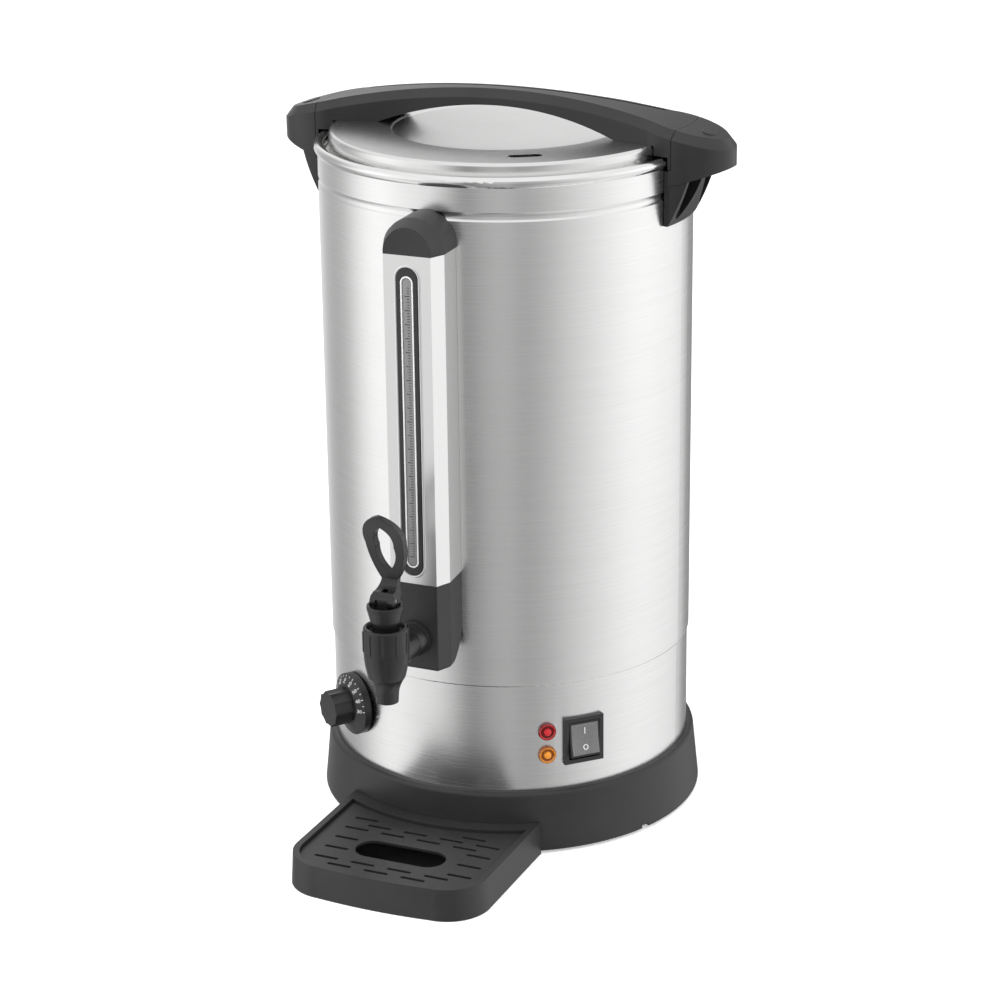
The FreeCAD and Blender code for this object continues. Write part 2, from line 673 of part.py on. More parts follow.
def make_tap(parts):
    """Tap housing, level manifold, shank through the tank wall, and the lever tap."""
    shell_room = disc(shell_radius + snug, 0, 600)
    housing_top = column_bottom
    solid = plan(column_plan(), housing_bottom, housing_top)
    bottom_edges = [edge for edge in solid.Edges if edge.BoundBox.ZMax < housing_bottom + 0.01]
    solid = solid.makeFillet(housing_round, bottom_edges)
    heel = side_prism([(shell_radius - 20, housing_bottom - 1), (column_front - 8, housing_bottom - 1),
                       (column_front - 8, housing_bottom),
                       ((column_rear_line + 9.5, housing_bottom + 8), (column_rear_line, housing_bottom + housing_heel)),
                       (shell_radius - 20, housing_bottom + housing_heel)], 60)
    solid = solid.cut(heel)
    hollow = plan(column_plan(housing_wall), housing_bottom + housing_wall, housing_top + 1)
    hollow = hollow.cut(block(-60, 60, -column_front, 0, 0, housing_bottom + housing_round))
    inner_heel = side_prism([(shell_radius - 20, housing_bottom - 1), (column_front - 8, housing_bottom - 1),
                             (column_front - 8, housing_bottom + housing_wall),
                             ((column_rear_line + 10.5, housing_bottom + 10.5),
                              (column_rear_line, housing_bottom + housing_heel + housing_wall)),
                             (shell_radius - 20, housing_bottom + housing_heel + housing_wall)], 60)
    housing = solid.cut(hollow.cut(inner_heel))
    spigot = plan(column_plan(column_wall + 0.3), housing_top - 1, housing_top + 4)
    spigot = spigot.cut(plan(column_plan(column_wall + 1.8), housing_top - 2, housing_top + 5))
    housing = fuse(housing, spigot).cut(rod(shank_radius + snug, 100, column_front + 2, port_height))
    parts["tap_housing"] = housing.cut(shell_room)

    manifold_low, manifold_high = port_height - 11, tube_low + 8
    manifold = block(-9, 9, -column_front + housing_wall + clearance, -tube_axis + 12, manifold_low, manifold_high)
    manifold = manifold.cut(rod(shank_radius, 100, column_front + 2, port_height))
    manifold = manifold.cut(disc(tube_radius + tube_seal, tube_low, manifold_high + 1, 0, -tube_axis))
    manifold = manifold.cut(disc(tube_bore, port_height, tube_low + 1, 0, -tube_axis))
    parts["level_manifold"] = manifold

    shank = rod(shank_radius, tank_radius - 11, column_front, port_height)
    shank = shank.cut(rod(shank_bore, tank_radius - 12, column_front + 1, port_height))
    shank = shank.cut(disc(2.0, port_height, port_height + 12, 0, -tube_axis))
    parts["tap_shank"] = shank
    nut = Part.makePolygon([Vector(13 * math.cos(math.radians(60 * k)), -tank_radius + 2.6,
                                   port_height + 13 * math.sin(math.radians(60 * k))) for k in range(7)])
    nut = outward(Part.Face(nut).extrude(Vector(0, 6.0, 0)))
    parts["tank_nut"] = nut.cut(rod(shank_radius, tank_radius - 15, tank_radius + 4, port_height))
    inner_washer = rod(13, tank_radius - 2.6, tank_radius + 2, port_height)
    inner_washer = inner_washer.common(disc(tank_radius, 100, 300))
    outer_washer = rod(13, tank_radius - 2, tank_radius + tank_wall + 2.5, port_height)
    outer_washer = outer_washer.cut(disc(tank_radius + tank_wall, 100, 300))
    hole = rod(shank_radius, 80, 200, port_height)
    parts["shank_washers"] = Part.makeCompound([inner_washer.cut(hole), outer_washer.cut(hole)])

    make_tap_body(parts)
    make_tap_lever(parts)


def at_tap(shape):
    """Move a shape spun about the urn's axis to the tap's own axis."""
    shape.translate(Vector(0, -tap_axis, 0))
    return shape


def make_tap_body(parts):
    """Spout body with its chamber and seat, the bonnet, the stem and its rubber cup."""
    cone_end = spout_cone
    hollow_height = (cone_end + tap_waist) / 2
    body = at_tap(spun((0, spout_bottom), (spout_radius, spout_bottom), (spout_radius + 0.6, cone_end),
                       ((spout_radius + 2.3, hollow_height), (tap_waist_radius, tap_waist)),
                       ((tap_radius - 0.9, tap_shoulder - 10), (tap_radius, tap_shoulder)), (0, tap_shoulder)))
    neck = at_tap(ring(chamber_radius + 3.0, chamber_radius, tap_shoulder - 1, tap_shoulder + 12))
    barrel = rod(barrel_radius, column_front, tap_axis, port_height)
    flange = rod(barrel_radius + 2.5, column_front, column_front + 2.4, port_height)
    horn = Part.makeCone(barrel_radius + 2.0, barrel_radius, 12, Vector(0, -column_front, port_height), Vector(0, -1, 0))
    body = fuse(body, barrel, flange, horn)
    chamber = at_tap(disc(chamber_radius, seat_height, tap_shoulder + 13))
    spout = at_tap(disc(spout_bore, spout_bottom - 1, seat_height + 1))
    inlet = rod(shank_bore, column_front - 1, tap_axis, port_height)
    trim = at_tap(disc(chamber_radius, tap_shoulder, tap_shoulder + 14))
    body = fuse(body.cut(at_tap(disc(30, tap_shoulder, loop_centre))), neck)
    parts["tap_body"] = body.cut(chamber).cut(spout).cut(inlet).cut(trim)

    bore = chamber_radius + 3.0 + snug
    dish_radius_top = flange_radius - 1.8
    seam = tap_shoulder + 0.1
    bonnet = at_tap(spun((bore, seam), (bonnet_radius, seam), (bonnet_radius, bonnet_top - 1.6),
                         (on_circle(bonnet_radius - 1.6, bonnet_top - 1.6, 1.6, 45), (bonnet_radius - 1.6, bonnet_top)),
                         (bonnet_radius - 2.4, bonnet_top), (bonnet_radius - 4.0, bonnet_top - bonnet_cup),
                         (neck_radius - 0.3, bonnet_top - bonnet_cup), (neck_radius, bonnet_top),
                         (flange_radius - 0.4, flange_bottom),
                         (flange_radius, flange_bottom + 1.2), (flange_radius, flange_top - 0.8),
                         (on_circle(flange_radius - 0.8, flange_top - 0.8, 0.8, 45), (flange_radius - 0.8, flange_top)),
                         (dish_radius_top, flange_top), (dish_radius_top - 0.6, flange_bottom + 1),
                         (stem_radius + running, flange_bottom + 1), (stem_radius + running, bonnet_top - 6),
                         (bore, bonnet_top - 6)))
    ribs = []
    for count in range(10):
        turn = math.radians(36 * count)
        ribs.append(disc(0.7, tap_shoulder + 1.5, bonnet_top - 2.4,
                         bonnet_radius * math.cos(turn), bonnet_radius * math.sin(turn) - tap_axis))
    post = block(-4.4, 4.4, -tap_axis - 4.6, -tap_axis + 4.6, flange_bottom + 0.5, lever_pivot)
    post = post.fuse(cross_rod(4.6, 4.4, -tap_axis, lever_pivot)).removeSplitter()
    post = post.cut(block(-1.9, 1.9, -tap_axis - 3.9, -tap_axis + 6, flange_bottom + 1, lever_pivot + 7))
    post = post.cut(cross_rod(pin_radius + running, 6, -tap_axis, lever_pivot))
    bonnet = fuse(bonnet, post, *ribs)
    stem_hole = at_tap(disc(stem_radius + running, bonnet_top - 8, flange_bottom + 2))
    parts["tap_bonnet"] = bonnet.cut(stem_hole)

    stem = at_tap(disc(stem_radius, seat_height + 4, flange_bottom - 1))
    collar = at_tap(disc(5.0, seat_height + 8, seat_height + 10))
    eye_low, eye_high = flange_bottom - 1.5, lever_pivot + 3.6
    eye = block(-1.5, 1.5, -tap_axis - 1.9, -tap_axis + 1.9, eye_low, lever_pivot)
    eye = eye.fuse(cross_rod(3.6, 1.5, -tap_axis, lever_pivot))
    slot = cross_rod(pin_radius + 0.35, 3, -tap_axis, lever_pivot)
    slot_low = cross_rod(pin_radius + 0.35, 3, -tap_axis, lever_pivot - stem_travel - 0.3)
    slot_mid = block(-3, 3, -tap_axis - pin_radius - 0.35, -tap_axis + pin_radius + 0.35,
                     lever_pivot - stem_travel - 0.3, lever_pivot)
    eye = fuse(eye, block(-1.5, 1.5, -tap_axis - 3.6, -tap_axis + 3.6, lever_pivot - 6.2, lever_pivot))
    eye = eye.cut(slot).cut(slot_low).cut(slot_mid)
    parts["tap_stem"] = fuse(stem, collar, eye)
    cup = at_tap(spun((stem_radius, seat_height + 0.3), (7.4, seat_height + 0.3), (7.4, seat_height + 2.0),
                      ((6.2, seat_height + 4), (5.6, seat_height + 7.9)), (stem_radius, seat_height + 7.9)))
    cup_floor = at_tap(disc(7.4, seat_height + 0.3, seat_height + 3.9))
    parts["seat_cup"] = fuse(cup, cup_floor)


def make_tap_lever(parts):
    """Lever with a finger loop, leaning forward, and its pin."""
    half, neck = loop_half_width, neck_half_width
    crown = loop_centre + loop_rise
    foot = lever_pivot - lever_boss
    face = outline((-lever_half_width, foot), (lever_half_width, foot), (lever_half_width, lever_pivot + 3),
                   ((neck + 0.9, neck_height - 5), (neck, neck_height)),
                   ((half - 2.6, loop_centre - 16), (half, loop_centre)),
                   ((half * 0.72, loop_centre + loop_rise * 0.72), (0, crown)),
                   ((-half * 0.72, loop_centre + loop_rise * 0.72), (-half, loop_centre)),
                   ((-half + 2.6, loop_centre - 16), (-neck, neck_height)),
                   ((-neck - 0.9, neck_height - 5), (-lever_half_width, lever_pivot + 3)))
    front = across(face, 60)
    front.translate(Vector(0, -tap_axis, 0))
    hole_half = loop_hole_half_width
    hole_low, hole_high = loop_hole_low, loop_hole_high
    widest = hole_low + 0.55 * (hole_high - hole_low)
    hole = outline((0, hole_low), ((0.78 * hole_half, hole_low + 0.19 * (hole_high - hole_low)), (hole_half, widest)),
                   ((0.72 * hole_half, hole_high - 0.13 * (hole_high - hole_low)), (0, hole_high)),
                   ((-0.72 * hole_half, hole_high - 0.13 * (hole_high - hole_low)), (-hole_half, widest)),
                   ((-0.78 * hole_half, hole_low + 0.19 * (hole_high - hole_low)), (0, hole_low)))
    hole = across(hole, 60)
    hole.translate(Vector(0, -tap_axis, 0))
    pivot = lever_pivot
    back_in, front_in = tap_axis - 13.6, tap_axis - 8.0
    side = side_prism([(tap_axis + lever_boss, pivot),
                       ((tap_axis, foot), (tap_axis - lever_boss, pivot)),
                       ((tap_axis - 9.8, pivot + 4.9), (back_in, neck_height)),
                       ((tap_axis - 12.0, pivot + 25.4), (tap_axis + 6.2, pivot + 64.0)),
                       (on_circle(tap_axis + 8.2, pivot + 63.4, 2.4, 60), (tap_axis + 10.4, pivot + 62.2)),
                       ((tap_axis - 4.9, pivot + 28.0), (front_in, neck_height)),
                       ((tap_axis - 4.8, pivot + 7.8), (tap_axis + 2.4, pivot + lever_boss - 0.4))], 30)
    lever = side.common(front).cut(hole)
    room = 4.4 + clearance
    fork = cross_rod(lever_boss - 1.2, room, -tap_axis, pivot)
    fork = fork.fuse(block(-room, room, -tap_axis - 12, -tap_axis + lever_boss + 0.4, foot - 2, pivot + 0.7))
    lift = cross_rod(4.1, 2.0, -tap_axis + stem_travel / 2, pivot + stem_travel * math.cos(math.radians(30)))
    lever = lever.cut(fork).cut(lift)
    lever = lever.cut(cross_rod(pin_radius, 20, -tap_axis, pivot))
    parts["tap_lever"] = lever
    parts["lever_pin"] = cross_rod(pin_radius, lever_half_width - 0.4, -tap_axis, lever_pivot)


def tray_plan(inset):
    """Plan of the tray: straight sides, round front corners and a gently bowed front."""
    half = tray_half_width - inset
    corner = tray_corner - inset
    corner_y = -(tray_reach - 2.5 - tray_corner)
    corner_x = tray_half_width - tray_corner
    back = -shell_radius + 40
    return [(-half, back), (-half, corner_y),
            (on_circle(-corner_x, corner_y, corner, 225), (-corner_x, corner_y - corner)),
            ((0, -tray_reach + inset), (corner_x, corner_y - corner)),
            (on_circle(corner_x, corner_y, corner, 315), (half, corner_y)), (half, back)]


def tray_wire(inset, height):
    face = outline(*tray_plan(inset))
    face.rotate(ORIGIN, Vector(1, 0, 0), -90)
    face.translate(Vector(0, 0, height))
    return face.OuterWire


def make_tray(parts):
    """Drip tray that hooks into the base, and the slotted grille that lifts out of it."""
    low = 0.5
    tray = Part.makeLoft([tray_wire(0, low), tray_wire(tray_draft, tray_height)], True, True)
    foot, top = base_foot + clearance, base_top + clearance
    slope = (foot - top) / (base_height - base_lift - 3.6)
    base_room = spun((0, -1), (foot + slope, -1), (foot - slope * tray_height, tray_height + 1), (0, tray_height + 1))
    deck_radius = foot + tray_deck
    tray = tray.cut(base_room)
    ledge = tray_height - grille_recess - grille_thickness
    recess = plan(tray_plan(tray_draft + tray_rim), ledge, tray_height + 1).cut(disc(deck_radius, ledge - 1, 40))
    well = plan(tray_plan(tray_draft + tray_rim + tray_wall), tray_floor, ledge + 1)
    well = well.cut(disc(deck_radius + 3.0, 0, 40))
    tray = tray.cut(recess).cut(well)
    for side in (-1, 1):
        reach_out = math.sqrt((foot + 0.2) ** 2 - 40 ** 2)
        tongue = block(side * 40 - 9, side * 40 + 9, -reach_out - 1.5, -reach_out + 12, 8, 12)
        tray = fuse(tray, tongue)
    parts["drip_tray"] = tray
    gap = clearance
    grille = plan(tray_plan(tray_draft + tray_rim + gap), ledge + 0.3, ledge + grille_thickness)
    grille = grille.cut(disc(deck_radius + gap, 0, 40))
    edge = plan(tray_plan(tray_draft + tray_rim + gap + 5.0), 0, 40).cut(disc(deck_radius + 6, -1, 41))
    finger_y = -203.0
    half = finger_width / 2
    straight = finger_half_length - half
    finger = plan([(-straight, finger_y - half), (straight, finger_y - half),
                   ((straight + half, finger_y), (straight, finger_y + half)), (-straight, finger_y + half),
                   ((-straight - half, finger_y), (-straight, finger_y - half))], 0, 40)
    keep_out = plan([(-finger_half_length - 3, finger_y - half - 3), (finger_half_length + 3, finger_y - half - 3),
                     (finger_half_length + 3, finger_y + half + 3), (-finger_half_length - 3, finger_y + half + 3)], 0, 40)
    slots = []
    rows = int((tray_reach - 150) / slot_pitch_y)
    for row in range(rows):
        y = -161.0 - row * slot_pitch_y
        for column in range(-3, 4):
            x = column * slot_pitch_x + (0.0 if row % 2 else slot_pitch_x / 2) - 4.0
            slot = slot_shape(x, y, slot_length, slot_width, 10, 30)
            inside = slot.cut(edge).Volume < 1e-6
            if inside and slot.common(keep_out).Volume < 1e-6:
                slots.append(slot)
    grille = grille.cut(Part.makeCompound(slots)).cut(finger)
    parts["drip_grille"] = grille


def slot_shape(x, y, length, width, low, high):
    """Upright prism of a slot that runs along X, with round ends."""
    half, radius = length / 2 - width / 2, width / 2
    return plan([(x - half, y - radius), (x + half, y - radius), ((x + half + radius, y), (x + half, y + radius)),
                 (x - half, y + radius), ((x - half - radius, y), (x - half, y - radius))], low, high)


def make_knob(parts):
    """Thermostat knob: numbered dial, fluted grip, spindle and the switch behind it."""
    surface = band_radius
    back = surface + dial_gap
    rim_out = back + dial_rim
    cone_out = back + dial_depth
    dial = Part.makeCylinder(dial_radius, dial_rim, Vector(0, -back, knob_height), Vector(0, -1, 0))
    cone = Part.makeCone(dial_radius - 1.0, dial_cone_radius, dial_depth - dial_rim, Vector(0, -rim_out, knob_height),
                         Vector(0, -1, 0))
    dial = fuse(dial, cone)
    grip_end = surface + grip_reach
    grip = rod(grip_radius, cone_out, grip_end, knob_height)
    half_facet = math.pi / grip_facets
    hollow = 0.95 * grip_radius
    reach = grip_radius * math.cos(half_facet)
    reach = reach + math.sqrt(hollow ** 2 - (grip_radius * math.sin(half_facet)) ** 2)
    for count in range(grip_facets):
        turn = half_facet * (2 * count + 1)
        x = reach * math.cos(turn)
        z = knob_height + reach * math.sin(turn)
        grip = grip.cut(rod(hollow, cone_out - 1, grip_end + 1, z, x))
    hole = rod(spindle_radius, surface - 40, grip_end - 4, knob_height)
    dial = dial.cut(hole)
    grip = grip.cut(hole)
    spindle = rod(spindle_radius, surface - 26, grip_end - 4, knob_height)
    front = math.sqrt((surface - shell_wall) ** 2 - 8 ** 2) - snug
    body = block(-15, 15, -front + 6, -front + 30, knob_height - 13, knob_height + 13)
    body = fuse(body, rod(8, front - 8, front, knob_height))
    body = body.cut(rod(spindle_radius + running, surface - 26.5, surface + 5, knob_height))
    for node, shape in (("knob_dial", dial), ("knob_grip", grip), ("thermostat_spindle", spindle),
                        ("thermostat_body", body)):
        parts[node] = turned(shape, knob_azimuth)


def make_lamps(parts):
    """Two indicator lamps: lens, steel bezel and the holder behind the band."""
    bezels = []
    holders = []
    for node, height in zip(("lamp_red", "lamp_amber"), lamp_heights):
        out = band_radius
        lens = rod(lamp_radius - 0.6, out - 2, out + 1.6, height)
        dome = Part.makeSphere(9.0, Vector(0, -(out - 5.9), height))
        lens = fuse(lens, dome.common(rod(lamp_radius - 0.6, out + 1, out + 6, height)))
        bezel = rod(lamp_bezel_radius, out - 1.0, out + 1.4, height).cut(disc(out, 0, 200))
        bezel = bezel.cut(rod(lamp_radius - 0.6, out - 4, out + 3, height))
        holder = rod(lamp_radius, out - 20, out - 2, height)
        sleeve = rod(lamp_radius, out - 3, out, height).cut(rod(lamp_radius - 0.6, out - 4, out + 2, height))
        holders.append(turned(holder, lamp_azimuth))
        bezels.append(turned(fuse(bezel, sleeve.cut(rod(lamp_radius, out - 4, out - 2, height))), lamp_azimuth))
        parts[node] = turned(lens, lamp_azimuth)
    parts["lamp_bezels"] = Part.makeCompound(bezels)
    parts["lamp_holders"] = Part.makeCompound(holders)


def switch_core(gap):
    """The part of the switch that passes through the band."""
    half_w, half_h = switch_width / 2 - 2.2 + gap, switch_tall / 2 - 1.6 + gap
    return block(-half_w, half_w, -band_radius - 4, -band_radius + 30, switch_height - half_h, switch_height + half_h)


def make_switch(parts):
    """Rocker switch: frame on the band, body behind it and the rocker on its pivot."""
    half_w, half_h = switch_width / 2, switch_tall / 2
    face_out = band_radius + switch_proud - 1.0
    frame = block(-half_w, half_w, -face_out, -band_radius + 6, switch_height - half_h, switch_height + half_h)
    frame = frame.cut(disc(band_radius + 0.1, 0, 200))
    pivot = band_radius - 3.0
    room_w, room_h = half_w - switch_border, half_h - switch_border
    opening = block(-room_w, room_w, -face_out - 5, -band_radius + 7, switch_height - room_h, switch_height + room_h)
    frame = frame.cut(opening)
    core = switch_core(0).common(block(-50, 50, -band_radius + 1.5, -band_radius + 26, 0, 200))
    cavity = block(-room_w, room_w, -face_out - 5, -pivot + 9, switch_height - room_h, switch_height + room_h)
    collar = switch_core(0).common(block(-50, 50, -band_radius, -band_radius + 2, 0, 200)).common(disc(band_radius, 0, 200))
    body = fuse(core, collar).cut(cavity).cut(cross_rod(1.5 + running, 13.0, -pivot, switch_height))
    width = room_w - clearance
    rear, dip, tip = pivot - 4.0, face_out + 0.9, face_out + 1.9
    tall = room_h - 1.6
    rocker = side_prism([(rear, switch_height - 6), (rear, switch_height + 6),
                         (pivot + 2.0, switch_height + tall - 0.6), (tip, switch_height + tall),
                         (dip, switch_height), (tip, switch_height - tall), (pivot + 2.0, switch_height - tall + 0.6)],
                        width)
    rocker = fuse(rocker, cross_rod(1.5, 12.8, -pivot, switch_height))
    rocker.rotate(Vector(0, -pivot, switch_height), Vector(1, 0, 0), -rocker_swing)
    for node, shape in (("switch_frame", frame), ("switch_body", body), ("switch_rocker", rocker)):
        parts[node] = turned(shape, switch_azimuth)


def inlet_core(gap):
    half_w, half_h = inlet_width / 2 - 2.5 + gap, inlet_tall / 2 - 2.5 + gap
    return block(-half_w, half_w, -band_radius - 4, -band_radius + 30, inlet_height - half_h, inlet_height + half_h)


def make_inlet(parts):
    """Mains inlet at the back: a framed socket with three flat pins."""
    half_w, half_h = inlet_width / 2, inlet_tall / 2
    out = band_radius + 1.8
    frame = block(-half_w, half_w, -out, -band_radius + 6, inlet_height - half_h, inlet_height + half_h)
    frame = frame.cut(disc(band_radius + 0.1, 0, 200))
    core = inlet_core(0).common(block(-60, 60, -band_radius - 0.5, -band_radius + 22, 0, 200))
    well_w, well_h = half_w - 4.0, half_h - 4.0
    well = block(-well_w, well_w, -out - 1, -band_radius + 16, inlet_height - well_h, inlet_height + well_h)
    socket = fuse(frame, core).cut(well)
    pins = []
    for x, rise in ((-6.5, -1.5), (0.0, 2.0), (6.5, -1.5)):
        z = inlet_height + rise
        pin = block(x - 1.0, x + 1.0, -band_radius + 2, -band_radius + 28, z - 2.0, z + 2.0)
        pins.append(pin)
        socket = socket.cut(pin)
    parts["power_inlet"] = turned(socket, 180)
    parts["inlet_pins"] = turned(Part.makeCompound(pins), 180)


def build():
    parts = {}
    make_body(parts)
    make_base(parts)
    make_heating(parts)
    make_lid(parts)
    make_bar_and_handles(parts)
    make_gauge(parts)
    make_tap(parts)
    make_tray(parts)
    make_knob(parts)
    make_lamps(parts)
    make_switch(parts)
    make_inlet(parts)
    return parts


os.makedirs("parts", exist_ok=True)
for name, shape in build().items():
    placed = shape.copy()
    placed.translate(Vector(0, tray_shift, 0))
    placed.exportStep("parts/" + name + ".step")
    box = placed.BoundBox
    print(name, len(placed.Solids), placed.isValid(), round(placed.Volume), [round(v, 1) for v in (
        box.XMin, box.XMax, box.YMin, box.YMax, box.ZMin, box.ZMax)])
print("axis stands at y", tray_shift)
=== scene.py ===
import bmesh
import bpy
import math
import numpy as np
from mathutils import Matrix, Vector


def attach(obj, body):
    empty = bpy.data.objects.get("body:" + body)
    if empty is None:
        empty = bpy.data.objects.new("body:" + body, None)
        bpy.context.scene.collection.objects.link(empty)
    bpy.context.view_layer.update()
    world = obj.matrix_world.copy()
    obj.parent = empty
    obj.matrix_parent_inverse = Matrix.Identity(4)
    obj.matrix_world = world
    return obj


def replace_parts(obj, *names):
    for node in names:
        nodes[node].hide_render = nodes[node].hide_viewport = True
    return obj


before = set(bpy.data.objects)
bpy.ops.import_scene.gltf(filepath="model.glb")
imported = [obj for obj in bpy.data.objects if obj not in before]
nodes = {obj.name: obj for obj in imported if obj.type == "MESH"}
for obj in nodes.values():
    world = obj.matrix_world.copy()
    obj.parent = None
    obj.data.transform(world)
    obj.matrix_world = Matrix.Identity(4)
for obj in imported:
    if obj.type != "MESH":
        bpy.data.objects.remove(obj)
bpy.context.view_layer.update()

AXIS_Y = 0.05365                    # the body's upright axis, in metres from the middle of the box
BAND = 0.1358                       # radius of the steel band that carries the controls
COLUMN_FRONT = 0.1707               # the column's front face, out from the axis
KNOB = (-35.0, 0.0915)              # azimuth in degrees from the front, and height
SWITCH = (46.2, 0.0845)
LAMP = (34.5, (0.0939, 0.0755))     # azimuth, and the heights of the red and the amber lamp


# Placing and meshing

def about_axis(x, out, z, azimuth=0.0):
    """Points of the frame: (x, -out) turned about the axis by the azimuth, at height z."""
    a = math.radians(azimuth)
    x, out, z = np.broadcast_arrays(*(np.asarray(v, float) for v in (x, out, z)))
    return np.stack([x * math.cos(a) + out * math.sin(a),
                     x * math.sin(a) - out * math.cos(a) + AXIS_Y, z], -1)


def solid(name, points, faces, body, material, smooth=True):
    """Mesh object from an array of points and a list of faces, set riding on its body."""
    mesh = bpy.data.meshes.new(name)
    mesh.from_pydata(np.asarray(points).reshape(-1, 3).tolist(), [], faces)
    mesh.polygons.foreach_set("use_smooth", np.full(len(mesh.polygons), smooth))
    mesh.materials.append(material)
    mesh.update()
    piece = bpy.data.objects.new(name, mesh)
    bpy.context.scene.collection.objects.link(piece)
    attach(piece, body)
    return piece


def wrap_faces(rows, columns, close_rows=False, caps=False):
    """Quads of a grid whose columns run round in a loop; rows may close too, or end in caps."""
    index = np.arange(rows * columns).reshape(rows, columns)
    low = index if close_rows else index[:-1]
    high = np.roll(index, -1, axis=0)[:len(low)]
    quads = np.stack([low, np.roll(low, -1, axis=1), np.roll(high, -1, axis=1), high], -1)
    faces = quads.reshape(-1, 4).tolist()
    if caps:
        faces += [index[0, ::-1].tolist(), index[-1].tolist()]
    return faces


def face_outwards(piece):
    """Turn every face of a closed mesh outwards."""
    shape = bmesh.new()
    shape.from_mesh(piece.data)
    bmesh.ops.recalc_face_normals(shape, faces=shape.faces[:])
    shape.to_mesh(piece.data)
    shape.free()


def carried_round(path, side, up, profile):
    """Closed profile carried along a closed path: path point + side times u + up times v, for each (u, v)."""
    u, v = profile.T[:, None, :, None]
    return path[:, None, :] + side[:, None, :] * u + up * v


def stadium_path(half_width, low, high, steps=24):
    """Upright slot outline in x and z, and its outward side: (cos, sin) of the turn round each end's circle."""
    turn = np.linspace(0, np.pi, steps)
    nx = np.concatenate([np.cos(turn), -np.cos(turn)])
    nz = np.concatenate([np.sin(turn), -np.sin(turn)])
    middle = np.repeat([high - half_width, low + half_width], steps)
    return half_width * nx, middle + half_width * nz, nx, nz


def trim_round_slot(name, half_width, low, high, out, profile, material):
    """Trim that follows a slot outline on the column's face; the profile is (sideways, outwards)."""
    x, z, nx, nz = stadium_path(half_width, low, high)
    side = np.stack([nx, np.zeros_like(nx), nz], -1)
    points = carried_round(about_axis(x, out, z), side, np.array([0.0, -1.0, 0.0]), profile)
    return solid(name, points, wrap_faces(len(x), len(profile), close_rows=True), "root", material)


# Finishes

def finish(name, base, metallic=0.0, roughness=0.5, **sockets):
    """Principled finish with its constants on the shader's own sockets; gives the material and its nodes."""
    material = bpy.data.materials.new(name)
    material.use_nodes = True
    tree = material.node_tree
    shader = tree.nodes["Principled BSDF"]
    shader.inputs["Base Color"].default_value = (*base, 1.0)
    shader.inputs["Metallic"].default_value = metallic
    shader.inputs["Roughness"].default_value = roughness
    for socket, value in sockets.items():
        shader.inputs[socket.replace("_", " ")].default_value = value
    return material, tree, shader


def node(tree, kind, **values):
    """New node; a value goes to the socket of its name, or else to the node's own setting."""
    made = tree.nodes.new(kind)
    for key, value in values.items():
        if key in made.inputs:
            made.inputs[key].default_value = value
        else:
            setattr(made, key, value)
    return made


def math_node(tree, operation, a, b=None):
    """Sum, product or the like of two sockets or numbers."""
    made = node(tree, "ShaderNodeMath", operation=operation)
    for socket, value in zip(made.inputs, (a, b)):
        if value is None:
            continue
        if isinstance(value, (int, float)):
            socket.default_value = value
        else:
            tree.links.new(value, socket)
    return made.outputs[0]


def ramp(tree, value, *stops):
    """Grey or colour ramp; a stop is a position and a grey or a colour."""
    made = node(tree, "ShaderNodeValToRGB")
    elements = made.color_ramp.elements
    while len(elements) < len(stops):
        elements.new(0.5)
    for element, (position, colour) in zip(elements, stops):
        element.position = position
        element.color = (*colour, 1.0) if isinstance(colour, tuple) else (colour, colour, colour, 1.0)
    tree.links.new(value, made.inputs[0])
    return made.outputs[0]


def noise(tree, vector, scale, detail=3.0, roughness=0.55):
    """Cloudy grey pattern."""
    made = node(tree, "ShaderNodeTexNoise", Scale=scale, Detail=detail, Roughness=roughness)
    tree.links.new(vector, made.inputs["Vector"])
    return made.outputs["Fac"]


def object_coords(tree, scale=(1.0, 1.0, 1.0)):
    """Object coordinates, stretched."""
    coords = node(tree, "ShaderNodeTexCoord")
    mapping = node(tree, "ShaderNodeMapping", Scale=scale)
    tree.links.new(coords.outputs["Object"], mapping.inputs["Vector"])
    return mapping.outputs["Vector"]


def round_coords(tree, around, along, out):
    """Coordinates round the body's axis: angle, height and radius, each stretched by its own factor."""
    coords = node(tree, "ShaderNodeTexCoord")
    split = node(tree, "ShaderNodeSeparateXYZ")
    tree.links.new(coords.outputs["Object"], split.inputs[0])
    x = split.outputs[0]
    y = math_node(tree, "SUBTRACT", split.outputs[1], AXIS_Y)
    angle = math_node(tree, "ARCTAN2", x, y)
    squares = (math_node(tree, "MULTIPLY", v, v) for v in (x, y))
    radius = math_node(tree, "SQRT", math_node(tree, "ADD", *squares))
    join = node(tree, "ShaderNodeCombineXYZ")
    for socket, value, stretch in zip(join.inputs, (angle, split.outputs[2], radius), (around, along, out)):
        tree.links.new(math_node(tree, "MULTIPLY", value, stretch), socket)
    return join.outputs[0]


def bump(tree, shader, height, strength, distance, edge=0.0):
    """Small relief on the surface; an edge radius also rounds the sharp edges' shading."""
    made = node(tree, "ShaderNodeBump", Strength=strength, Distance=distance)
    if edge:
        rounded = node(tree, "ShaderNodeBevel", samples=4, Radius=edge)
        tree.links.new(rounded.outputs[0], made.inputs["Normal"])
    tree.links.new(height, made.inputs["Height"])
    tree.links.new(made.outputs[0], shader.inputs["Normal"])


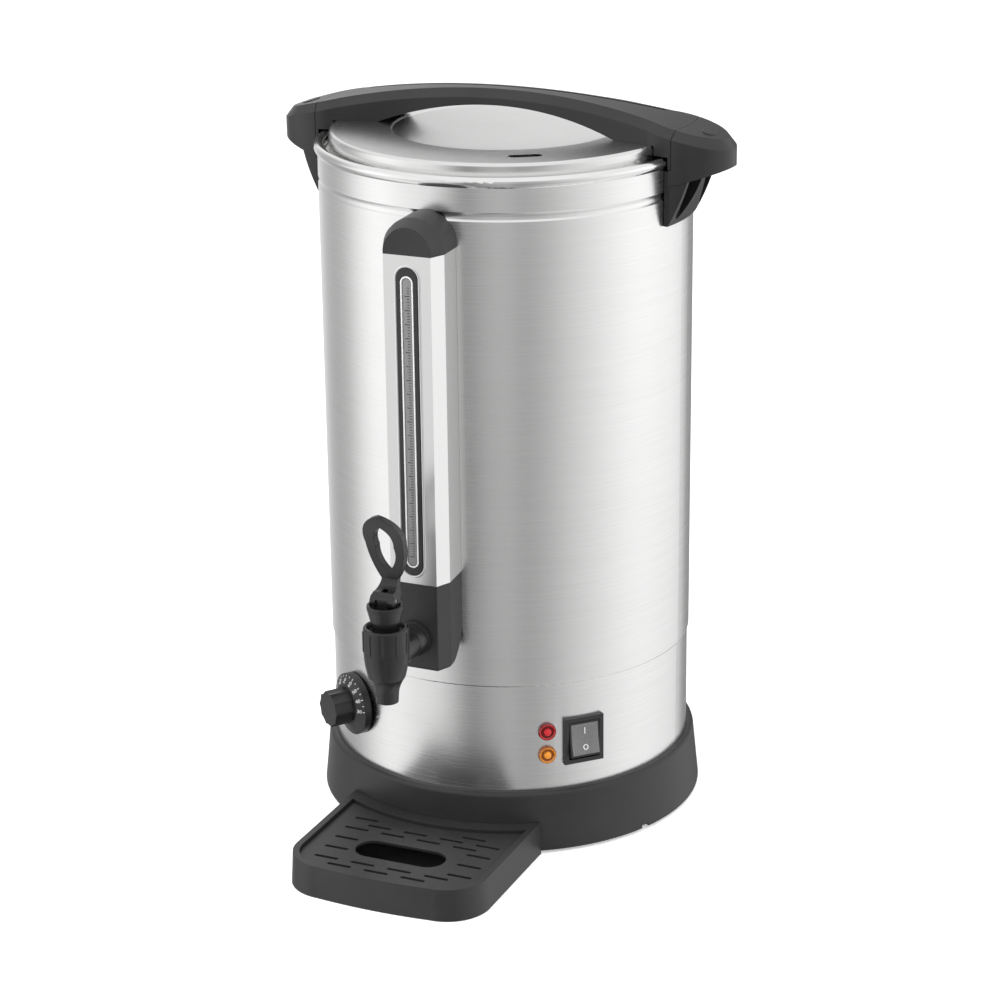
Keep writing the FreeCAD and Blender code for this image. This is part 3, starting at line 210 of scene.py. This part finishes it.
def brushed_steel(name, base, roughness, around, along, out, strength=0.06):
    """Steel brushed round the axis: fine long streaks shift colour, roughness and normal a little."""
    material, tree, shader = finish(name, base, 1.0, roughness)
    streaks = noise(tree, round_coords(tree, around, along, out), 1.0, 4.0, 0.65)
    broad = noise(tree, round_coords(tree, around * 0.6, along * 0.03, out * 0.03), 1.0, 2.0, 0.5)
    tone = math_node(tree, "ADD", math_node(tree, "MULTIPLY", streaks, 0.8),
                     math_node(tree, "MULTIPLY", broad, 0.2))
    dark = tuple(c * 0.94 for c in base)
    light = tuple(min(1.0, c * 1.04) for c in base)
    gloss = ramp(tree, streaks, (0.3, roughness * 0.9), (0.7, roughness * 1.12))
    tree.links.new(ramp(tree, tone, (0.3, dark), (0.7, light)), shader.inputs["Base Color"])
    tree.links.new(gloss, shader.inputs["Roughness"])
    bump(tree, shader, streaks, strength, 0.0004)
    return material


def moulded_plastic(name, base, roughness, grain=1400.0, strength=0.12, edge=0.0005):
    """Moulded plastic: very fine even grain, slow cloudy changes in tone and gloss, and softened edges."""
    material, tree, shader = finish(name, base, 0.0, roughness)
    coords = object_coords(tree)
    fine = noise(tree, coords, grain, 2.0)
    cloud = noise(tree, coords, 22.0, 3.0)
    dark = tuple(c * 0.85 for c in base)
    light = tuple(c * 1.2 for c in base)
    gloss = ramp(tree, cloud, (0.3, roughness * 0.92), (0.7, roughness * 1.1))
    tree.links.new(ramp(tree, cloud, (0.3, dark), (0.7, light)), shader.inputs["Base Color"])
    tree.links.new(gloss, shader.inputs["Roughness"])
    bump(tree, shader, fine, strength, 0.0002, edge)
    return material


body_steel = brushed_steel("body_steel", (0.93, 0.93, 0.925), 0.25, 2.0, 3200.0, 10.0, 0.05)
lid_steel = brushed_steel("lid_steel", (0.86, 0.86, 0.855), 0.22, 3.0, 300.0, 2600.0, 0.05)
tank_steel = brushed_steel("tank_steel", (0.72, 0.72, 0.715), 0.3, 3.0, 2200.0, 900.0)
rim_steel = brushed_steel("rim_steel", (0.92, 0.92, 0.915), 0.15, 3.0, 1500.0, 1500.0, 0.03)
column_steel = brushed_steel("column_steel", (0.93, 0.93, 0.925), 0.34, 2200.0, 3.0, 2200.0, 0.03)
base_plastic = moulded_plastic("base_plastic", (0.02, 0.02, 0.0205), 0.42, 1500.0, 0.14)
bar_plastic = moulded_plastic("bar_plastic", (0.016, 0.016, 0.0165), 0.34, 1500.0, 0.1, edge=0.0008)
cap_plastic = moulded_plastic("cap_plastic", (0.022, 0.022, 0.0225), 0.4, 1500.0, 0.1, edge=0.0008)
tray_plastic = moulded_plastic("tray_plastic", (0.022, 0.022, 0.0225), 0.42, 1500.0, 0.14)
tap_plastic = moulded_plastic("tap_plastic", (0.014, 0.014, 0.0145), 0.26, 1500.0, 0.05, edge=0.0009)
knob_plastic = moulded_plastic("knob_plastic", (0.018, 0.018, 0.0185), 0.36, 1500.0, 0.08)
insert_plastic = moulded_plastic("insert_plastic", (0.02, 0.02, 0.021), 0.3, 900.0, 0.02)
switch_plastic = moulded_plastic("switch_plastic", (0.02, 0.02, 0.021), 0.36, 1200.0, 0.06)
lens_plastic = moulded_plastic("lens_plastic", (0.16, 0.16, 0.16), 0.28, 1200.0, 0.03)
strip_plastic = moulded_plastic("strip_plastic", (0.2, 0.2, 0.2), 0.25, 900.0, 0.02)
inner_plastic = moulded_plastic("inner_plastic", (0.1, 0.1, 0.1), 0.6, 900.0, 0.1)
ceramic = moulded_plastic("ceramic", (0.7, 0.67, 0.6), 0.6, 700.0, 0.1)
foot_rubber = moulded_plastic("foot_rubber", (0.02, 0.02, 0.02), 0.75, 700.0, 0.25)
seal_rubber = moulded_plastic("seal_rubber", (0.62, 0.62, 0.6), 0.55, 700.0, 0.1)
white_print = moulded_plastic("white_print", (0.82, 0.82, 0.81), 0.5, 900.0, 0.03)
grey_print = moulded_plastic("grey_print", (0.25, 0.25, 0.25), 0.5, 900.0, 0.03)
dark_print = moulded_plastic("dark_print", (0.03, 0.03, 0.03), 0.5, 900.0, 0.03)
brass = brushed_steel("brass", (0.72, 0.55, 0.28), 0.3, 900.0, 900.0, 900.0, 0.05)
fastener_steel = brushed_steel("fastener_steel", (0.62, 0.62, 0.61), 0.3, 900.0, 900.0, 900.0, 0.05)
dull_sheath = brushed_steel("dull_sheath", (0.3, 0.29, 0.28), 0.5, 700.0, 700.0, 700.0, 0.08)
cast_plate = brushed_steel("cast_plate", (0.6, 0.6, 0.6), 0.55, 500.0, 500.0, 500.0, 0.2)
floor_sheet = moulded_plastic("floor_sheet", (0.14, 0.14, 0.14), 0.45, 700.0, 0.15)


def clear_glass():
    """Sight tube glass: clear with faint long draw lines."""
    material, tree, shader = finish("tube_glass", (0.86, 0.88, 0.88), 0.0, 0.06,
                                    Transmission_Weight=0.85, IOR=1.47)
    lines = noise(tree, object_coords(tree, scale=(900.0, 900.0, 6.0)), 1.0, 2.0)
    bump(tree, shader, lines, 0.04, 0.0003)
    return material


def lamp_finish(name, height, bright, dark):
    """Clear coloured plastic with painted shade: bright, dark, half bright and dark again with distance from the
    lamp's middle, standing in for the light and shade on the lens's rings.
    """
    material, tree, shader = finish(name, bright, 0.0, 0.16, Coat_Weight=0.5, Coat_Roughness=0.06)
    middle = about_axis(0.0, BAND + 0.002, height, LAMP[0]).tolist()
    apart = node(tree, "ShaderNodeVectorMath", operation="DISTANCE")
    tree.links.new(object_coords(tree), apart.inputs[0])
    apart.inputs[1].default_value = middle
    cells = noise(tree, object_coords(tree), 700.0, 2.0)
    reach = math_node(tree, "ADD", math_node(tree, "MULTIPLY", apart.outputs["Value"], 100.0),
                      math_node(tree, "MULTIPLY", cells, 0.06))
    mid = tuple(0.55 * b + 0.45 * d for b, d in zip(bright, dark))
    heart = tuple(c * 0.85 for c in bright)
    # painted shade: the dark and half-dark bands are the shade on the lens's ring profile, painted into its colour
    tone = ramp(tree, reach, (0.0, heart), (0.26, bright), (0.33, mid), (0.38, dark), (0.47, dark), (0.54, mid),
                (0.62, mid), (0.68, dark))
    tree.links.new(tone, shader.inputs["Base Color"])
    bump(tree, shader, cells, 0.08, 0.0002)
    return material


tube_glass = clear_glass()
# each lamp's second colour is the painted shade of its lens rings
red_lens = lamp_finish("red_lens", LAMP[1][0], (0.62, 0.012, 0.018), (0.13, 0.006, 0.006))
amber_lens = lamp_finish("amber_lens", LAMP[1][1], (0.88, 0.32, 0.025), (0.26, 0.07, 0.008))

DRESS = {
    "outer_shell": body_steel, "lower_band": body_steel, "inner_tank": tank_steel,
    "tank_floor_plate": tank_steel, "tank_rim": rim_steel,
    "base_ring": base_plastic, "base_plate": floor_sheet, "base_screws": fastener_steel,
    "rubber_feet": foot_rubber,
    "heating_plate": cast_plate, "heating_element": dull_sheath, "keep_warm_element": dull_sheath,
    "thermal_cutout": dull_sheath, "thermostat_bulb": dull_sheath, "terminal_block": ceramic,
    "lid_cover": lid_steel, "lid_liner": tank_steel, "lid_screws": fastener_steel,
    "lid_seal": seal_rubber, "lid_bar": bar_plastic,
    "handle_right": bar_plastic, "handle_left": bar_plastic, "handle_screws": fastener_steel,
    "handle_plates": floor_sheet,
    "gauge_cover": column_steel, "gauge_insert": insert_plastic, "sight_tube": tube_glass,
    "tube_seals": seal_rubber, "gauge_cap": cap_plastic,
    "tap_housing": cap_plastic, "level_manifold": inner_plastic, "tap_shank": brass, "tank_nut": brass,
    "shank_washers": seal_rubber, "tap_body": tap_plastic, "tap_bonnet": tap_plastic,
    "tap_stem": fastener_steel, "seat_cup": seal_rubber, "tap_lever": tap_plastic,
    "lever_pin": fastener_steel,
    "drip_tray": tray_plastic, "drip_grille": tray_plastic,
    "knob_dial": knob_plastic, "knob_grip": knob_plastic, "thermostat_spindle": fastener_steel,
    "thermostat_body": ceramic,
    "lamp_red": red_lens, "lamp_amber": amber_lens, "lamp_bezels": red_lens, "lamp_holders": inner_plastic,
    "switch_frame": switch_plastic, "switch_body": inner_plastic, "switch_rocker": switch_plastic,
    "power_inlet": switch_plastic, "inlet_pins": brass,
}
for name, cad in nodes.items():
    cad.data.materials.clear()
    cad.data.materials.append(DRESS[name])


# Printed marks

def flat_slab(outline, thickness):
    """Closed slab from an outline of (u, v) points: a ring at w = 0, a ring at w = thickness, and the sides."""
    outline = np.asarray(outline, float)
    count = len(outline)
    points = np.column_stack([np.tile(outline, (2, 1)), np.repeat([0.0, thickness], count)])
    here = np.arange(count)
    after = np.roll(here, -1)
    sides = np.stack([here, after, count + after, count + here], -1)
    return points, [here[::-1].tolist(), (count + here).tolist()] + sides.tolist()


def flat_ring(outer, inner, thickness, steps=32):
    """Closed flat ring: a rectangle's four (radius, w) corners carried round a circle."""
    turn = np.linspace(0, 2 * np.pi, steps, endpoint=False)
    profile = np.array([(outer, 0.0), (outer, thickness), (inner, thickness), (inner, 0.0)])
    points = np.stack([np.outer(np.cos(turn), profile[:, 0]), np.outer(np.sin(turn), profile[:, 0]),
                       np.tile(profile[:, 1], (steps, 1))], -1).reshape(-1, 3)
    return points, wrap_faces(steps, 4, close_rows=True)


def bar_slab(u, v, width, height, thickness):
    """Small flat bar centred at (u, v)."""
    w, h = width / 2, height / 2
    return flat_slab([(u - w, v - h), (u + w, v - h), (u + w, v + h), (u - w, v + h)], thickness)


def numeral_slab(text, height, thickness):
    """Numerals of the built-in type as a closed slab centred on (0, 0): points and faces."""
    curve = bpy.data.curves.new("numeral", "FONT")
    curve.body = text
    curve.size = height / 0.7
    curve.extrude = thickness / 2
    curve.resolution_u = 3
    curve.align_x, curve.align_y = "CENTER", "CENTER"
    holder = bpy.data.objects.new("numeral", curve)
    shape = bmesh.new()
    shape.from_mesh(holder.to_mesh())
    bmesh.ops.remove_doubles(shape, verts=shape.verts[:], dist=1e-7)
    bmesh.ops.recalc_face_normals(shape, faces=shape.faces[:])
    points = np.array([v.co[:] for v in shape.verts])
    faces = [tuple(v.index for v in f.verts) for f in shape.faces]
    shape.free()
    holder.to_mesh_clear()
    bpy.data.objects.remove(holder)
    points[:, :2] -= (points[:, :2].min(0) + points[:, :2].max(0)) / 2
    points[:, 2] += thickness / 2
    return points, faces


def print_marks(name, slabs, body, material):
    """One mesh from many small slabs whose points are already in the frame."""
    faces, start = [], 0
    for points, slab in slabs:
        faces += [[i + start for i in face] for face in slab]
        start += len(points)
    points = np.concatenate([points for points, slab in slabs])
    face_outwards(solid(name, points, faces, body, material, smooth=False))


# Dial

DIAL_INNER = (0.0155, BAND + 0.0098)     # the dial's cone: radius and distance out, at its inner edge
DIAL_OUTER = (0.0225, BAND + 0.0058)


def on_dial(points, clock, radius):
    """Lay (u, v, w) on the dial's cone: u runs outwards from the radius, v anticlockwise, w off the face."""
    u, v, w = points.T
    a = np.radians(clock)
    x = (radius + u) * np.sin(a) - v * np.cos(a)
    z = (radius + u) * np.cos(a) + v * np.sin(a)
    slope = (DIAL_OUTER[1] - DIAL_INNER[1]) / (DIAL_OUTER[0] - DIAL_INNER[0])
    out = DIAL_INNER[1] + slope * (np.hypot(x, z) - DIAL_INNER[0])
    return about_axis(x, out + w, KNOB[1] + z, KNOB[0])


def dial_print():
    """Numerals 30 to 110 every 25 degrees back from the mark, with a short line at each and between."""
    thickness, sunk = 0.00018, (0.0, 0.0, 0.00006)
    numerals_radius, lines_radius, line_width = 0.0182, 0.0216, 0.00045
    slabs = []
    for count, value in enumerate(range(30, 111, 10)):
        clock = 88.0 - 25.0 * count
        points, faces = numeral_slab(str(value), 0.0027, thickness)
        slabs.append((on_dial(points - sunk, clock, numerals_radius), faces))
        for step, length in ((0.0, 0.0016), (-12.5, 0.0011)):
            points, faces = bar_slab(0.0, 0.0, length, line_width, thickness)
            slabs.append((on_dial(points - sunk, clock + step, lines_radius), faces))
    print_marks("dial_numbers", slabs, "thermostat_knob", white_print)


def dial_mark():
    """Small wedge on the steel beside the dial, pointing at its numbers."""
    azimuth, height, sunk = -23.9, 0.0887, 0.00003
    points, faces = flat_slab([(-0.0012, -0.0007), (0.0012, -0.0014), (0.0012, 0.0014)], 0.00012)
    u, v, w = points.T
    turn = np.degrees(u / BAND) + azimuth
    x, out = (BAND + w - sunk) * np.sin(np.radians(turn)), (BAND + w - sunk) * np.cos(np.radians(turn))
    print_marks("dial_mark", [(about_axis(x, out, height + v), faces)], "root", grey_print)


dial_print()
dial_mark()


# Rocker

ROCKER_PIVOT = BAND - 0.0030
ROCKER_TIP = BAND + 0.0045          # its face's distance out, at the ends
ROCKER_DIP = BAND + 0.0035          # and across the middle
ROCKER_HALF = (0.01180, 0.01310)
ROCKER_REST = -10.0                 # degrees that it is turned at rest
MARK_AT = (0.0064, 0.0062)          # the I's middle above the pivot, and the O's below it


def on_rocker(u, v, w):
    """Rocker face at rest: out falls from the ends to the middle, and all of it turns about the pivot."""
    out = ROCKER_DIP + (ROCKER_TIP - ROCKER_DIP) * np.abs(v) / ROCKER_HALF[1] + w
    turn = math.radians(ROCKER_REST)
    y, z = ROCKER_PIVOT - out, v
    y, z = y * math.cos(turn) - z * math.sin(turn), y * math.sin(turn) + z * math.cos(turn)
    return about_axis(u, ROCKER_PIVOT - y, SWITCH[1] + z, SWITCH[0])


def rocker_lens():
    """Ribbed lens over the rocker: w follows the cosine of u, fading out at the border and round the O."""
    half_u, half_v = ROCKER_HALF[0] - 0.0012, ROCKER_HALF[1] - 0.0014
    rib_pitch, rib_height, thickness, sunk, fade = 0.0016, 0.00016, 0.00045, 0.0002, 0.0012
    u, v = np.meshgrid(np.linspace(-half_u, half_u, 133), np.linspace(-half_v, half_v, 41))
    ribs = 0.5 + 0.5 * np.cos(2 * np.pi * u / rib_pitch)
    border = np.clip((half_u - np.abs(u)) / fade, 0, 1) * np.clip((half_v - np.abs(v)) / fade, 0, 1)
    calm = np.clip((np.hypot(u, v + MARK_AT[1]) - 0.0026) / 0.0008, 0, 1)
    front = on_rocker(u, v, thickness + rib_height * ribs * np.clip(border * 2, 0, 1) * calm)
    back = on_rocker(u, v, np.full_like(u, -sunk))
    index = np.arange(u.size).reshape(u.shape)
    quads = np.stack([index[:-1, :-1], index[:-1, 1:], index[1:, 1:], index[1:, :-1]], -1).reshape(-1, 4)
    edge = np.concatenate([index[0, :-1], index[:-1, -1], index[-1, :0:-1], index[:0:-1, 0]])
    after = np.roll(edge, -1)
    sides = np.stack([after, edge, u.size + edge, u.size + after], -1)
    faces = np.concatenate([quads, u.size + quads[:, ::-1], sides]).tolist()
    points = np.stack([front, back])
    solid("rocker_lens", points, faces, "rocker", lens_plastic, smooth=False)


def rocker_marks():
    """I on the upper half and O on the lower half of the rocker."""
    thickness = 0.0003
    line, line_faces = bar_slab(0.0, MARK_AT[0], 0.0007, 0.0048, thickness)
    ring, ring_faces = flat_ring(0.0021, 0.0014, thickness)
    slabs = [(on_rocker(line[:, 0], line[:, 1], line[:, 2] + 0.0005), line_faces),
             (on_rocker(ring[:, 0], ring[:, 1] - MARK_AT[1], ring[:, 2] + 0.0004), ring_faces)]
    print_marks("rocker_marks", slabs, "rocker", white_print)


rocker_lens()
rocker_marks()


# Gauge trim

PANE = (0.0045, 0.2326, 0.4434)     # the window's half width, bottom and top


def half_round(width, height, steps=9):
    """Half-round bead profile on a flat foot."""
    turn = np.linspace(0, np.pi, steps)
    return np.stack([width / 2 * np.cos(turn), height * np.sin(turn)], -1)


def flat_strip(width, height, sunk=0.00005):
    """Rectangle profile, let a little into what carries it."""
    w = width / 2
    return np.array([[w, -sunk], [w, height], [-w, height], [-w, -sunk]])


def gauge_pane():
    """Frosted strip in the window: slot outlines drawn in towards their end circles' centres, each further out."""
    half, low, high = PANE
    x, z, _, _ = stadium_path(half, low, high)
    centre = np.where(z > (low + high) / 2, high - half, low + half)
    drawn_in = np.array([1.0, 1.0, 0.93, 0.75, 0.45, 0.15])[:, None]
    out = COLUMN_FRONT + np.array([-0.0012, 0.0003, 0.00042, 0.00052, 0.0006, 0.00063])[:, None]
    points = about_axis(x * drawn_in, out, centre + (z - centre) * drawn_in)
    faces = wrap_faces(*points.shape[:2], caps=True)
    solid("gauge_pane", points, faces, "root", strip_plastic)


def gauge_ticks():
    """Ladder of fine level lines up the pane, 2 mm apart, every fifth one longer."""
    slabs = []
    for count in range(99):
        middle, width, height = (0.0009, 0.0018, 0.0004) if count % 5 else (0.0, 0.0036, 0.0005)
        points, faces = bar_slab(middle, 0.240 + 0.002 * count, width, height, 0.00012)
        slabs.append((about_axis(points[:, 0], COLUMN_FRONT + 0.00062 + points[:, 2], points[:, 1]), faces))
    print_marks("gauge_ticks", slabs, "root", dark_print)


trim_round_slot("gauge_border", 0.00905, 0.2249, 0.4511, COLUMN_FRONT - 0.0002, half_round(0.0022, 0.0010),
                column_steel)
trim_round_slot("gauge_line", 0.0042, 0.2323, 0.4437, COLUMN_FRONT + 0.0009, flat_strip(0.0011, 0.00014),
                white_print)
gauge_pane()
gauge_ticks()


# Lamps

LENS_RINGS = ((0.0012, 0.0034), (0.0022, 0.0032), (0.0029, 0.0027), (0.0031, 0.0012), (0.0036, 0.0010),
              (0.0042, 0.0013), (0.0050, 0.0026), (0.0058, 0.0030), (0.0064, 0.0026), (0.0068, 0.0012),
              (0.0068, -0.0004))    # radius and rise, from the bright middle to the rim on the steel


def lamp_lens(name, height, material):
    """Rings spun about the lamp's own axis; the outer ones also follow the band: root of its radius2 - x2."""
    r, rise = np.array(LENS_RINGS).T[:, :, None]
    turn = np.linspace(0, 2 * np.pi, 48, endpoint=False)
    x, z = r * np.cos(turn), r * np.sin(turn)
    band_fall = (np.sqrt(BAND ** 2 - x ** 2) - BAND) * (r > 0.006)
    points = about_axis(x, BAND + rise + band_fall, height + z, LAMP[0])
    piece = solid(name, points, wrap_faces(*x.shape, caps=True), "root", material)
    face_outwards(piece)
    return piece


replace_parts(lamp_lens("lamp_red_lens", LAMP[1][0], red_lens), "lamp_red", "lamp_bezels")
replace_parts(lamp_lens("lamp_amber_lens", LAMP[1][1], amber_lens), "lamp_amber")


# Studio

# Cards round the studio: azimuth in degrees from the front, and how bright each is.
CARDS = [(-180, 0.2), (-170, 0.24), (-158, 0.64), (-144, 0.86), (-136, 0.73), (-124, 0.49), (-110, 0.38),
         (-94, 0.44), (-80, 0.76), (-68, 0.98), (-56, 1.0), (-40, 0.84), (-24, 0.8), (-12, 0.52), (-6, 0.26),
         (1, 0.22), (8, 0.4), (24, 0.46), (32, 0.33), (46, 0.43), (62, 0.61), (78, 0.75), (92, 0.87),
         (106, 0.96), (120, 0.97), (134, 0.92), (146, 0.88), (154, 0.86), (162, 0.76), (170, 0.26)]


def mix_colours(tree, factor, first, second):
    """Mix of a colour socket with a fixed colour."""
    made = node(tree, "ShaderNodeMix", data_type="RGBA")
    tree.links.new(factor, made.inputs["Factor"])
    colour_a, colour_b = made.inputs[6], made.inputs[7]
    tree.links.new(first, colour_a)
    colour_b.default_value = (*second, 1.0)
    return made.outputs[2]


def studio_world():
    """White all round for the camera; for gloss, soft bright and dark cards placed by azimuth."""
    world = bpy.data.worlds.new("studio")
    bpy.context.scene.world = world
    world.use_nodes = True
    tree = world.node_tree
    tree.nodes.clear()
    coords = node(tree, "ShaderNodeTexCoord")
    split = node(tree, "ShaderNodeSeparateXYZ")
    tree.links.new(coords.outputs["Generated"], split.inputs[0])
    x, y, z = split.outputs
    azimuth = math_node(tree, "ARCTAN2", x, math_node(tree, "MULTIPLY", y, -1.0))
    turn = math_node(tree, "ADD", math_node(tree, "DIVIDE", azimuth, 2 * math.pi), 0.5)
    cards = ramp(tree, turn, *[((a + 180.0) / 360.0, grey) for a, grey in CARDS])
    limits = {"From Min": -0.44, "From Max": -0.24, "To Min": 0.9, "To Max": 1.12}
    fall = node(tree, "ShaderNodeMapRange", **limits)
    tree.links.new(z, fall.inputs["Value"])
    shaded = node(tree, "ShaderNodeVectorMath", operation="SCALE")
    tree.links.new(cards, shaded.inputs[0])
    tree.links.new(fall.outputs[0], shaded.inputs["Scale"])
    high = ramp(tree, z, (0.0, 0.0), (0.42, 0.0), (0.62, 1.0))
    gloss = mix_colours(tree, high, shaded.outputs[0], (0.9, 0.9, 0.9))
    path = node(tree, "ShaderNodeLightPath")
    clear = math_node(tree, "MAXIMUM", path.outputs["Is Camera Ray"], path.outputs["Is Transmission Ray"])
    background = node(tree, "ShaderNodeBackground")
    tree.links.new(mix_colours(tree, clear, gloss, (1.0, 1.0, 1.0)), background.inputs["Color"])
    output = node(tree, "ShaderNodeOutputWorld")
    tree.links.new(background.outputs[0], output.inputs[0])


def pale_floor():
    """Large pale floor that keeps a soft shadow; gloss looks past it at the studio's cards."""
    mesh = bpy.data.meshes.new("floor")
    half = 6.0
    corners = [(-half, -half, 0), (half, -half, 0), (half, half, 0), (-half, half, 0)]
    mesh.from_pydata(corners, [], [(0, 1, 2, 3)])
    floor = bpy.data.objects.new("floor", mesh)
    bpy.context.scene.collection.objects.link(floor)
    material = bpy.data.materials.new("floor_paper")
    material.use_nodes = True
    tree = material.node_tree
    tree.nodes.clear()
    paper = node(tree, "ShaderNodeBsdfDiffuse", Color=(0.86, 0.86, 0.86, 1.0))
    glow = node(tree, "ShaderNodeEmission")
    path = node(tree, "ShaderNodeLightPath")
    whiter = math_node(tree, "MULTIPLY", path.outputs["Is Camera Ray"], 0.42)
    tree.links.new(whiter, glow.inputs["Strength"])
    both = node(tree, "ShaderNodeAddShader")
    tree.links.new(paper.outputs[0], both.inputs[0])
    tree.links.new(glow.outputs[0], both.inputs[1])
    past = node(tree, "ShaderNodeBsdfTransparent")
    mix = node(tree, "ShaderNodeMixShader")
    tree.links.new(path.outputs["Is Glossy Ray"], mix.inputs[0])
    tree.links.new(both.outputs[0], mix.inputs[1])
    tree.links.new(past.outputs[0], mix.inputs[2])
    output = node(tree, "ShaderNodeOutputMaterial")
    tree.links.new(mix.outputs[0], output.inputs[0])
    mesh.materials.append(material)


def soft_lamp(name, azimuth, elevation, distance, size, power):
    """Square area lamp on a sphere about the urn's middle, turned to face it."""
    a, e = math.radians(azimuth), math.radians(elevation)
    middle = Vector((0.0, 0.0, 0.25))
    towards = Vector((math.sin(a) * math.cos(e), -math.cos(a) * math.cos(e), math.sin(e)))
    lamp = bpy.data.lights.new(name, "AREA")
    lamp.energy = power
    lamp.size = size
    holder = bpy.data.objects.new(name, lamp)
    holder.location = middle + distance * towards
    holder.rotation_euler = (middle - holder.location).to_track_quat("-Z", "Y").to_euler()
    holder.visible_glossy = False
    bpy.context.scene.collection.objects.link(holder)


def photo_camera():
    """Camera at the solved viewpoint: azimuth, then pan, pitch and roll, as one rotation."""
    azimuth, pan, pitch, roll = math.radians(23.618), -0.0035, -0.3385, -0.0118
    forward = Vector((math.sin(pan) * math.cos(pitch), math.cos(pan) * math.cos(pitch), math.sin(pitch)))
    level = Vector((math.cos(pan), -math.sin(pan), 0.0))
    upright = level.cross(forward)
    right = math.cos(roll) * level + math.sin(roll) * upright
    up = math.cos(roll) * upright - math.sin(roll) * level
    turn = Matrix.Rotation(azimuth, 3, "Z")
    forward, right, up = turn @ forward, turn @ right, turn @ up
    camera = bpy.data.cameras.new("photo_camera")
    camera.sensor_width = 36.0
    camera.lens = 36.0 * 2826.75 / 1000.0       # focal length of 2826.75 in a frame of 1000
    seat = bpy.data.objects.new("photo_camera", camera)
    bpy.context.scene.collection.objects.link(seat)
    rows = Matrix((right, up, -forward)).transposed().to_4x4()
    seat.matrix_world = Matrix.Translation((0.8119, -1.8032, 0.9400)) @ rows
    bpy.context.scene.camera = seat


studio_world()
pale_floor()
soft_lamp("key", -45.0, 42.0, 2.2, 1.4, 26.0)
soft_lamp("fill", 85.0, 30.0, 2.4, 1.6, 16.0)
soft_lamp("top", 20.0, 80.0, 2.0, 1.4, 14.0)
photo_camera()
bpy.context.scene.view_settings.view_transform = "Standard"
